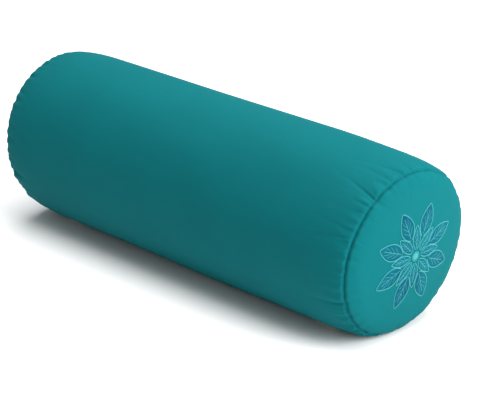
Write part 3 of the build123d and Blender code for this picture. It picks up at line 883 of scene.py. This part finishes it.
def casing_pieces(casing, seeds, height, simulate):
    """Makes a casing's body panel and its two caps."""
    ends = build_ends(casing, seeds, height, simulate)
    pieces = [body_piece(casing, ends)]
    pieces += [cap_piece(casing, ends, end, place) for end, place in ENDS]


class BOLSTER_OT_cover(bpy.types.Operator):
    """Makes the cover's body panel and end caps, with relaxed gathers at the seams"""

    bl_idname = "bolster.cover"
    bl_label = "Cover"

    def execute(self, context):
        casing_pieces(COVER, (11, 23), 1.3 * MM, simulate=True)
        return {"FINISHED"}


def seam_thread_piece(casing, end, place):
    """The needle and bobbin threads of a cap seam: two rings that dip into the cloth between stitches.

    Each ring's height over the cloth is 0.32 mm * sqrt(|cos(angle * stitches / 2)|)."""
    cloth = Cloth()
    stitches, samples = 220, 5
    count = stitches * samples
    radius = casing.cap_radius - casing.cloth - chosen_sizes().seam_depth - 1.6 * MM
    x = np.full(count, casing.seam_x - casing.cloth)
    ring = settle(casing, x, np.full(count, radius), turns_round(count), end)
    dip = np.abs(np.cos(np.arange(count) * math.pi / samples)) ** 0.5
    for side in (end, -end):
        thread = ring.copy()
        thread[:, 0] += side * (casing.cloth + 0.32 * MM * dip)
        add_tube(cloth, thread, [side, 0, 0], 0.2 * MM, 0.18 * MM, 5, closed=True)
    node = f"{casing.name}_{place}_seam_thread"
    sewn_piece(cloth, f"{node}_rows", f"{casing.name}_thread", [node])


def overlock_piece(casing, end, place):
    """The overlocked edge: one thread wound round the edge of the allowances.

    Each turn is an ellipse across the edge, and the thread moves on round the seam as it winds."""
    turns, samples = 230, 9
    count = turns * samples
    wind = turns * turns_round(count)
    angle = turns_round(count)
    x = casing.seam_x - casing.cloth
    radius = casing.cap_radius - casing.cloth - chosen_sizes().seam_depth - 6.6 * MM
    core = settle(casing, np.full(count, x), np.full(count, radius), angle, end)
    across = (casing.cloth + 0.35 * MM) * np.sin(wind)
    path = settle(casing, x + across, radius - 2.5 * MM * np.cos(wind), angle, end)
    cloth = Cloth()
    add_tube(cloth, path, unit(path - core), 0.24 * MM, 0.16 * MM, 4, closed=True)
    seam = f"{casing.name}_{place}_overlock"
    sewn_piece(cloth, f"{seam}_winding", f"{casing.name}_thread", [f"{seam}_thread"])


class BOLSTER_OT_seams(bpy.types.Operator):
    """Makes the seam threads and overlocked edges behind the caps of both casings"""

    bl_idname = "bolster.seams"
    bl_label = "Seams"

    def execute(self, context):
        for casing in (COVER, LINER):
            for end, place in ENDS:
                seam_thread_piece(casing, end, place)
                overlock_piece(casing, end, place)
        return {"FINISHED"}


class BOLSTER_OT_liner(bpy.types.Operator):
    """Makes the inner casing's body panel and end caps"""

    bl_idname = "bolster.liner"
    bl_label = "Inner Casing"

    def execute(self, context):
        casing_pieces(LINER, (37, 41), 0.5 * MM, simulate=False)
        return {"FINISHED"}


def husk_piece():
    """The packed husks: the inner casing's inner shape, with a bumpy skin at the size of a husk.

    Each bump is the mean of three neighbouring random heights."""
    columns, rows = 300, 230
    inside = SimpleNamespace(**vars(LINER))
    inside.radius -= LINER.cloth + 3.0 * MM
    inside.cap_radius -= LINER.cloth + 11.0 * MM
    inside.seam_x -= LINER.cloth + 2.6 * MM
    inside.crown -= 1.0 * MM
    inside.floor += LINER.cloth + 0.8 * MM
    inside.flats = [(angle, distance - 4.6 * MM) for angle, distance in LINER.flats]
    reach = inside.seam_x + inside.cap_radius
    walk = np.linspace(-reach, reach, rows)
    distance = np.abs(walk)
    domed = distance > inside.seam_x
    radius = np.where(domed, np.maximum(reach - distance, 0), shoulder_radius(inside, distance))
    x = np.where(domed, dome_x(inside, radius), distance)
    angle = turns_round(columns)
    x, radius = (values[:, None] + np.zeros((1, columns)) for values in (x, radius))
    bumps = np.random.default_rng(3).uniform(-1, 1, (rows, columns))
    bumps = (bumps + np.roll(bumps, 1, 0) + np.roll(bumps, 1, 1)) / 3 * (radius > 10 * MM)
    points = settle(inside, x, radius + 0.8 * MM * bumps, angle + 0 * x)
    points[..., 0] *= np.sign(walk)[:, None]
    cloth = Cloth()
    cloth.add_grid(points, cloth_uv(walk, angle, inside.radius), wrap=True)
    piece = sewn_piece(cloth, "husk_filling_heap", "husks", ["husk_filling"])


class BOLSTER_OT_filling(bpy.types.Operator):
    """Makes the packed husks inside the inner casing"""

    bl_idname = "bolster.filling"
    bl_label = "Husk Filling"

    def execute(self, context):
        husk_piece()
        return {"FINISHED"}


# ---------------------------------------------------------------- zips

SLOT_HALF = 6.5 * MM
SPREAD = 2.4 * MM  # how far the slider's wedge holds each coil aside
SPREAD_END = 13.0 * MM  # from the opening's end to where the coils have met
SPREAD_LENGTH = 8.0 * MM
TOOTH_PITCH = 2.0 * MM
FOLD_REACH = 8.6 * MM
FOLD_SPACING = 3.0 * MM
STITCH_SPACING = 0.5 * MM


def zip_frame(casing, angle):
    """A zip's origin and axes: along, up the tape's width, and out of the cloth's face."""
    distance = next(far for flat, far in casing.flats if flat == angle)
    out = np.array([0, math.cos(angle), math.sin(angle)])
    width = np.array([0, -math.sin(angle), math.cos(angle)])
    origin = np.array([0, 0, AXIS_HEIGHT]) + out * distance
    return SimpleNamespace(origin=origin, along=np.array([1.0, 0, 0]), width=width, out=out)


COVER_FRAME = zip_frame(COVER, COVER_ZIP_ANGLE)
LINER_FRAME = zip_frame(LINER, LINER_ZIP_ANGLE)


def on_zip(place, x, t, n):
    """Points given in a zip's frame: along it, across its tape and out of its face."""
    x, t, n = (values[..., None] for values in np.broadcast_arrays(x, t, n))
    return place.origin + x * place.along + t * place.width + n * place.out


def rounded_loop(half_x, half_t, corner, spacing):
    """A rectangle with round corners, walked once round at an even spacing.

    Distance along the loop is cut into four straight runs and four quarter circles. Returns the points and
    their outward normals."""
    straight = np.array([2 * (half_t - corner), 2 * (half_x - corner)] * 2)
    lengths = np.empty(8)
    lengths[0::2], lengths[1::2] = straight, corner * math.pi / 2
    starts = np.concatenate([[0], np.cumsum(lengths)])
    count = int(starts[-1] / spacing)
    along = np.arange(count) * starts[-1] / count
    part = np.searchsorted(starts, along, side="right") - 1
    into = along - starts[part]
    side = part // 2
    face = side * math.pi / 2
    turning = np.where(part % 2 == 1, into / corner, 0.0)
    travel = np.where(part % 2 == 0, into - lengths[part] / 2, straight[side] / 2)
    reach = np.where(side % 2 == 0, half_x - corner, half_t - corner)
    centre_x = np.cos(face) * reach - np.sin(face) * travel
    centre_t = np.sin(face) * reach + np.cos(face) * travel
    normal = np.stack([np.cos(face + turning), np.sin(face + turning)], axis=-1)
    return np.stack([centre_x, centre_t], axis=-1) + corner * normal, normal


def fold_piece(casing, place, half):
    """The cloth's folded edge round the opening: a round nose, and the turned-under hem behind it."""
    nose = np.linspace(math.pi / 2, -math.pi / 2, 9)
    thick = casing.cloth
    bend, reach = 4 * MM, FOLD_REACH
    outward = np.concatenate([[reach, bend], thick * (1 - np.cos(nose)), [bend, reach, reach]])
    above = [-0.5 * thick, 0.02 * MM]
    below = [-2 * thick, -2 * thick, -thick]
    height = np.concatenate([above, thick * (np.sin(nose) - 1), below])
    loop, normal = rounded_loop(half, SLOT_HALF, 1.6 * MM, FOLD_SPACING)
    flat = loop[:, None] + outward[None, :, None] * normal[:, None]
    points = on_zip(place, flat[..., 0], flat[..., 1], height)
    points = np.concatenate([points, points[:1]])
    uv = grid_uv(np.arange(len(points)) * FOLD_SPACING, np.arange(len(outward) + 1) * 1.5 * MM)
    cloth = Cloth()
    cloth.add_grid(points, uv, wrap=True)
    sewn_piece(cloth, f"{casing.name}_zip_folded_edge", f"{casing.name}_cotton")


def topstitch_piece(casing, place, half):
    """The topstitching: short stitches laid nose to tail round the opening, sunk at their ends."""
    loop, _ = rounded_loop(half + 3 * MM, SLOT_HALF + 3 * MM, 2 * MM, STITCH_SPACING)
    per_stitch, gap = 6, 1
    rise = np.sin(np.linspace(0, math.pi, per_stitch)) * 0.16 * MM + 0.02 * MM
    cloth = Cloth()
    for start in range(0, len(loop) - per_stitch, per_stitch + gap):
        part = loop[start : start + per_stitch]
        path = on_zip(place, part[:, 0], part[:, 1], rise)
        add_tube(cloth, path, place.out, 0.24 * MM, 0.18 * MM, 5)
    node = f"{casing.name}_zip_topstitching"
    sewn_piece(cloth, f"{casing.name}_zip_topstitch_row", f"{casing.name}_thread", [node])


def bartack_piece(casing, place, half):
    """The bartacks: a thread that zigzags closely across each end of the opening."""
    passes = 44
    zigzag = np.where(np.arange(passes) % 2 == 0, 0.3, 2.0) * MM
    t = np.linspace(-SLOT_HALF, SLOT_HALF, passes)
    cloth = Cloth()
    for end in (1, -1):
        path = on_zip(place, end * (half + zigzag), t, 0.14 * MM)
        add_tube(cloth, path, place.out, 0.18 * MM, 0.16 * MM, 5)
    node = f"{casing.name}_zip_bartacks"
    sewn_piece(cloth, f"{casing.name}_zip_bartack_threads", f"{casing.name}_thread", [node])


def spread_aside(half, x):
    """How far each coil is held aside at x: a smooth step round the slider's wedge."""
    return SPREAD * smooth_step((SPREAD_END - half - x) / SPREAD_LENGTH)


def coil_piece(casing, place, half, side, node):
    """One row of the coil, with the cord that runs through it.

    The row is a flattened helix: t = 0.75 + 1.35 cos(turn) across the tape, and n = 0.68 sin(turn) out of
    it, in millimetres from the coil's middle height. The cord is a flat tube inside it."""
    start, end = -half + 4.3 * MM, half - 8 * MM
    height = 1.0 * MM - 2 * casing.cloth
    samples = 10
    shift = 0.5 if side > 0 else 0.0
    turns = (end - start) / TOOTH_PITCH - 1
    turn = np.arange(int(turns * samples)) * FULL_TURN / samples
    x = start + TOOTH_PITCH * (turn / FULL_TURN + shift)
    t = side * (0.75 * MM + 1.35 * MM * np.cos(turn) + spread_aside(half, x))
    path = on_zip(place, x, t, height + 0.68 * MM * np.sin(turn))
    up = on_zip(place, 0 * x, side * np.cos(turn), np.sin(turn)) - place.origin
    cloth = Cloth()
    add_tube(cloth, path, up, 0.33 * MM, 0.33 * MM, 5)
    cord_x = np.arange(0, end - start, 1.0 * MM) + start
    cord = on_zip(place, cord_x, side * (1.1 * MM + spread_aside(half, cord_x)), height)
    add_tube(cloth, cord, place.out, 0.75 * MM, 0.3 * MM, 6)
    sewn_piece(cloth, f"{node}_helix", f"{casing.name}_zip_coil", [node])


class BOLSTER_OT_zips(bpy.types.Operator):
    """Makes both zips' folded cloth edges, stitches and coils, and dresses their tapes"""

    bl_idname = "bolster.zips"
    bl_label = "Zips"

    def execute(self, context):
        for casing, place in ((COVER, COVER_FRAME), (LINER, LINER_FRAME)):
            name = casing.name
            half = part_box(f"{name}_zip_upper_tape")[1].x - 7 * MM
            fold_piece(casing, place, half)
            topstitch_piece(casing, place, half)
            bartack_piece(casing, place, half)
            for side, row in ((1, "upper"), (-1, "lower")):
                coil_piece(casing, place, half, side, f"{name}_zip_{row}_coil")
                dress_node(f"{name}_zip_{row}_tape")
        return {"FINISHED"}


class BOLSTER_OT_zip_metal(bpy.types.Operator):
    """Makes the sliders, the pull and the stops, with rounded edges"""

    bl_idname = "bolster.zip_metal"
    bl_label = "Zip Sliders"

    def execute(self, context):
        owners = {n: body for body, nodes in frame["record"]["behaviour"]["bodies"].items() for n in nodes}
        metal = material_for("zip_metal")
        for casing in ("cover", "liner"):
            for part in ("slider", "pull", "top_stops", "bottom_stop"):
                node = f"{casing}_zip_{part}"
                if node not in frame["nodes"]:
                    continue
                width = 0.35 * MM if part in ("pull", "slider") else 0.25 * MM
                piece = softened_copy(node, f"{node}_casting", width)
                piece.data.materials.append(metal)
                finish_piece(piece, owners[node], [node])
        return {"FINISHED"}


class BOLSTER_OT_label(bpy.types.Operator):
    """Dresses the blank care label inside the cover"""

    bl_idname = "bolster.label"
    bl_label = "Care Label"

    def execute(self, context):
        dress_node("care_label")
        return {"FINISHED"}


# ---------------------------------------------------------------- embroidery

CENTRE_RADIUS = 6.5 * MM
CAP_OUT = (1.0, 0.0, 0.0)


def on_cap(y, up, lift):
    """Points on the front cap, given by their offsets from its middle and their lift off the cloth."""
    radius = np.hypot(y, up)
    return settle(COVER, dome_x(COVER, radius) + lift, radius, np.arctan2(up, y))


def add_cap_disc(cloth, radius, lift, sides, flip=False):
    """Adds a round sheet that lies on the front cap, from its rings' radii and lifts."""
    angle = turns_round(sides)
    radius, lift = radius[:, None], lift[:, None]
    points = on_cap(radius * np.cos(angle), radius * np.sin(angle), lift)
    wide = np.linspace(0, FULL_TURN, sides + 1)
    uv = np.stack([radius * np.cos(wide), radius * np.sin(wide)], axis=-1)
    cloth.add_grid(points, uv, wrap=True, flip=flip)


def petal_half_width(size, share):
    """Half a petal's width at a share u of its length: width / 2 * sin(pi * u^0.85)^0.8."""
    return size[2] / 2 * np.sin(math.pi * share**0.85) ** 0.8


def petal_point(size, turn, share, across, lift):
    """A point of a petal: share runs from root to tip, and across from -1 to 1 over its width.

    Its size is its root's radius, its tip's radius and its width."""
    along = size[0] + (size[1] - size[0]) * share
    off = petal_half_width(size, np.clip(share, 0, 1)) * across
    y = along * math.cos(turn) - off * math.sin(turn)
    up = along * math.sin(turn) + off * math.cos(turn)
    return on_cap(y, up, lift)


def petal_turns(half_step):
    """The angles of the petals of one circle."""
    petals = chosen_sizes().petals
    return [FULL_TURN * (i + (0.5 if half_step else 0)) / petals for i in range(petals)]


def petal_fill_piece(name, size, half_step, nodes):
    """The petals' satin fill: each half is a low pad of slanting stitches, highest beside the middle vein.

    The lift in millimetres is 0.12 + 0.45 (1 - |across|^2.5), less a bell-shaped groove along the vein. The
    outermost stitches sink into the cloth."""
    cloth = Cloth()
    share, across = np.meshgrid(np.linspace(0.02, 0.985, 40), np.linspace(-1, 1, 17), indexing="ij")
    groove = 0.28 * np.exp(-((across / 0.12) ** 2))
    lift = (0.12 + 0.45 * (1 - np.abs(across) ** 2.5) - groove) * MM
    lift = np.where(np.abs(across) > 0.99, -0.05 * MM, lift)
    side = across * size[2] / 2
    slant = share * (size[1] - size[0]) - 0.9 * np.abs(side)
    uv = np.stack([slant, side], axis=-1)
    for turn in petal_turns(half_step):
        cloth.add_grid(petal_point(size, turn, share, across * 0.93, lift), uv, flip=True)
    sewn_piece(cloth, name, "embroidery_petal_thread", nodes, 0.3 * MM)


def petal_edge_piece(name, size, half_step, nodes):
    """The petals' edges and veins: raised cords of close slanting stitches, on the petals' outlines."""
    cloth = Cloth()
    walk = np.linspace(0, 1, 90)
    share = np.where(walk < 0.5, walk * 2, 2 - walk * 2)
    across = np.where(walk < 0.5, 1.0, -1.0)
    vein = np.linspace(0.05, 0.82, 30)
    step = np.linspace(0, 1, 12)
    ribs = [(0.18, 0.42), (0.34, 0.62), (0.5, 0.8)]  # shares of the length, at the vein and at the edge
    for turn in petal_turns(half_step):
        outline = petal_point(size, turn, share, across, 0.3 * MM)
        add_tube(cloth, outline, CAP_OUT, 0.62 * MM, 0.42 * MM, 8)
        middle = petal_point(size, turn, vein, 0 * vein, 0.42 * MM)
        add_tube(cloth, middle, CAP_OUT, 0.42 * MM, 0.3 * MM, 6)
        for low, high in ribs:
            for side in (0.72, -0.72):
                rib = petal_point(size, turn, low + (high - low) * step, side * step, 0.5 * MM)
                add_tube(cloth, rib, CAP_OUT, 0.26 * MM, 0.22 * MM, 5)
    sewn_piece(cloth, name, "embroidery_edge_thread", nodes)


def blossom_centre_piece():
    """The middle of the blossom: a domed disc of satin stitches, ringed with small knots."""
    cloth = Cloth()
    share = np.append(np.linspace(0, 1, 9), 1.0)
    radius = share * CENTRE_RADIUS * 0.72
    top = (0.15 + 0.75 * np.sqrt(1 - (share * 0.72 / 0.76) ** 2)) * MM
    under = np.full(len(share), -0.05 * MM)
    top[-1] = under[-1]
    add_cap_disc(cloth, radius, top, 40, flip=True)
    add_cap_disc(cloth, radius, under, 40)
    spin = turns_round(12)
    for turn in turns_round(2 * chosen_sizes().petals):
        y = CENTRE_RADIUS * 0.9 * math.cos(turn) + 0.5 * MM * np.cos(spin)
        up = CENTRE_RADIUS * 0.9 * math.sin(turn) + 0.5 * MM * np.sin(spin)
        add_tube(cloth, on_cap(y, up, 0.4 * MM), CAP_OUT, 0.42 * MM, 0.42 * MM, 6, closed=True)
    sewn_piece(cloth, "blossom_centre_stitches", "embroidery_edge_thread", ["embroidery_centre"])


def backing_piece():
    """The soft backing inside the front cap: a disc that follows the inside of the dome."""
    cloth = Cloth()
    radius = np.linspace(CAP_HELD_RADIUS, 0, 20)
    add_cap_disc(cloth, radius, np.full(len(radius), -COVER.cloth - 0.05 * MM), 64)
    sewn_piece(cloth, "embroidery_backing_sheet", "backing_sheet", ["embroidery_backing"], 0.2 * MM)


class BOLSTER_OT_embroidery(bpy.types.Operator):
    """Stitches the blossom on the front cap, and lays its backing inside"""

    bl_idname = "bolster.embroidery"
    bl_label = "Embroidery"

    def execute(self, context):
        sizes = chosen_sizes()
        rings = (("outer", sizes.outer_petal, True), ("inner", sizes.inner_petal, False))
        for ring, size, half_step in rings:
            petal = f"blossom_{ring}_petal"
            petal_fill_piece(f"{petal}_satin", size, half_step, [f"embroidery_{ring}_petals"])
            petal_edge_piece(f"{petal}_cords", size, half_step, [f"embroidery_{ring}_edges"])
        blossom_centre_piece()
        backing_piece()
        return {"FINISHED"}


# ---------------------------------------------------------------- stage


def aim(thing, target):
    """Turns a lamp or a camera towards a point."""
    thing.rotation_euler = (Vector(target) - thing.location).to_track_quat("-Z", "Y").to_euler()


def area_lamp(name, place, target, size, power):
    """A square soft lamp that points at a target."""
    light = bpy.data.lights.new(name, "AREA")
    light.shape = "SQUARE"
    light.size = size
    light.energy = power
    lamp = bpy.data.objects.new(name, light)
    bpy.context.scene.collection.objects.link(lamp)
    lamp.location = place
    aim(lamp, target)


def lay_floor():
    """A wide pale floor."""
    half = 30.0
    corners = [(-half, -half, 0), (half, -half, 0), (half, half, 0), (-half, half, 0)]
    mesh = bpy.data.meshes.new("floor")
    mesh.from_pydata(corners, [], [(0, 1, 2, 3)])
    floor = bpy.data.objects.new("floor", mesh)
    bpy.context.scene.collection.objects.link(floor)
    paper, _, shader, _ = new_material("pale floor")
    shader.inputs["Base Color"].default_value = (0.9, 0.9, 0.9, 1)
    shader.inputs["Roughness"].default_value = 0.9
    mesh.materials.append(paper)


def place_camera(studio):
    """The camera, with a full-frame sensor."""
    lens = bpy.data.cameras.new("camera")
    lens.sensor_width = 36.0
    lens.lens = studio.lens
    lens.clip_end = 50.0
    camera = bpy.data.objects.new("camera", lens)
    bpy.context.scene.collection.objects.link(camera)
    camera.location = studio.camera_place
    aim(camera, studio.camera_target)
    bpy.context.scene.camera = camera


class BOLSTER_OT_stage(bpy.types.Operator):
    """Lays a plain pale floor and sets up soft studio light and the camera"""

    bl_idname = "bolster.stage"
    bl_label = "Stage"

    def execute(self, context):
        studio = context.scene.bolster_studio
        lay_floor()
        world = bpy.data.worlds.new("studio")
        world.use_nodes = True
        sky = world.node_tree.nodes["Background"]
        sky.inputs["Color"].default_value = (1, 1, 1, 1)
        sky.inputs["Strength"].default_value = studio.fill
        context.scene.world = world
        area_lamp("key", (2.2, 0.35, 1.25), (0.2, 0, 0.1), 1.8, studio.key)
        area_lamp("overhead", (-0.1, 0.28, 2.4), (0, 0, 0.1), 2.8, studio.key * 1.1)
        place_camera(studio)
        context.scene.view_settings.view_transform = "Standard"
        return {"FINISHED"}


class BolsterSizes(bpy.types.PropertyGroup):
    """Sizes of the settled cloth, the seams and the blossom"""

    lean: bpy.props.FloatProperty(
        name="Lean", description="How far the ends lean out, as a share of the height above the axis",
        subtype="FACTOR", min=0.0, max=0.3, default=0.069,
    )
    front_sag: bpy.props.FloatProperty(
        name="Front Sag", description="How far the top of the front end sinks", unit="LENGTH",
        default=4.5 * MM,
    )
    gathers: bpy.props.IntProperty(
        name="Gathers", description="Number of short folds round each seam", min=1, default=116
    )
    seam_depth: bpy.props.FloatProperty(
        name="Seam Depth", description="How deep each end's seam draws the cloth in", unit="LENGTH",
        default=2.8 * MM,
    )
    petals: bpy.props.IntProperty(
        name="Petals", description="Number of petals in each ring of the blossom", min=3, default=8
    )
    outer_petal: bpy.props.FloatVectorProperty(
        name="Outer Petal", description="Radius of an outer petal's root, radius of its tip, and its width",
        unit="LENGTH", default=(26 * MM, 68 * MM, 22 * MM),
    )
    inner_petal: bpy.props.FloatVectorProperty(
        name="Inner Petal", description="Radius of an inner petal's root, radius of its tip, and its width",
        unit="LENGTH", default=(9 * MM, 42 * MM, 13 * MM),
    )


class BolsterColours(bpy.types.PropertyGroup):
    """Colours of the cloth and the threads"""

    cover: bpy.props.FloatVectorProperty(
        name="Cover", description="Colour of the cotton cover", subtype="COLOR",
        default=(0.0003, 0.11, 0.122),
    )
    liner: bpy.props.FloatVectorProperty(
        name="Inner Casing", description="Colour of the inner casing", subtype="COLOR",
        default=(0.56, 0.5, 0.39),
    )
    petal: bpy.props.FloatVectorProperty(
        name="Petals", description="Colour of the petals' thread", subtype="COLOR",
        default=(0.002, 0.108, 0.14),
    )
    petal_shade: bpy.props.FloatVectorProperty(
        name="Petal Shade", description="Second colour of the petals' thread", subtype="COLOR",
        default=(0.001, 0.07, 0.112),
    )
    petal_edge: bpy.props.FloatVectorProperty(
        name="Petal Edges", description="Colour of the petals' edges", subtype="COLOR",
        default=(0.04, 0.27, 0.29),
    )


class BolsterStudio(bpy.types.PropertyGroup):
    """Camera and light"""

    lens: bpy.props.FloatProperty(
        name="Lens", description="Focal length of the camera", default=138.08, subtype="DISTANCE_CAMERA"
    )
    camera_place: bpy.props.FloatVectorProperty(
        name="Camera", description="Place of the camera", subtype="XYZ", unit="LENGTH",
        default=(1.59311, -1.57469, 0.99050),
    )
    camera_target: bpy.props.FloatVectorProperty(
        name="Target", description="Point that the camera looks at", subtype="XYZ", unit="LENGTH",
        default=(0.03135, 0.00696, 0.08536),
    )
    key: bpy.props.FloatProperty(
        name="Key Light", description="Power of the main lamp", default=88.0, subtype="POWER"
    )
    fill: bpy.props.FloatProperty(
        name="Fill Light", description="Strength of the light from all round", default=0.38
    )


class BOLSTER_PT_panel(bpy.types.Panel):
    """Lists the steps that build the bolster"""

    bl_idname = "BOLSTER_PT_panel"
    bl_label = "Bolster"
    bl_space_type = "VIEW_3D"
    bl_region_type = "UI"
    bl_category = "Bolster"

    def draw(self, context):
        column = self.layout.column()
        for step in STEPS:
            column.operator(step.bl_idname)
        scene = context.scene
        for group in (scene.bolster_sizes, scene.bolster_colours, scene.bolster_studio):
            for name in group.__annotations__:
                column.prop(group, name)


STEPS = [
    BOLSTER_OT_cover,
    BOLSTER_OT_seams,
    BOLSTER_OT_zips,
    BOLSTER_OT_zip_metal,
    BOLSTER_OT_embroidery,
    BOLSTER_OT_label,
    BOLSTER_OT_liner,
    BOLSTER_OT_filling,
    BOLSTER_OT_stage,
]
GROUPS = [BolsterSizes, BolsterColours, BolsterStudio]


def register():
    """Registers every class, and hangs the settings on the scene."""
    for made in [*GROUPS, *STEPS, BOLSTER_PT_panel]:
        bpy.utils.register_class(made)
    bpy.types.Scene.bolster_sizes = bpy.props.PointerProperty(type=BolsterSizes)
    bpy.types.Scene.bolster_colours = bpy.props.PointerProperty(type=BolsterColours)
    bpy.types.Scene.bolster_studio = bpy.props.PointerProperty(type=BolsterStudio)


def unregister():
    """Removes what register added."""
    del bpy.types.Scene.bolster_studio
    del bpy.types.Scene.bolster_colours
    del bpy.types.Scene.bolster_sizes
    for made in reversed([*GROUPS, *STEPS, BOLSTER_PT_panel]):
        bpy.utils.unregister_class(made)


def main():
    """Registers the classes and builds every piece in order."""
    register()
    for step in STEPS:
        group, name = step.bl_idname.split(".")
        getattr(getattr(bpy.ops, group), name)()


if __name__ == "__main__":
    main()
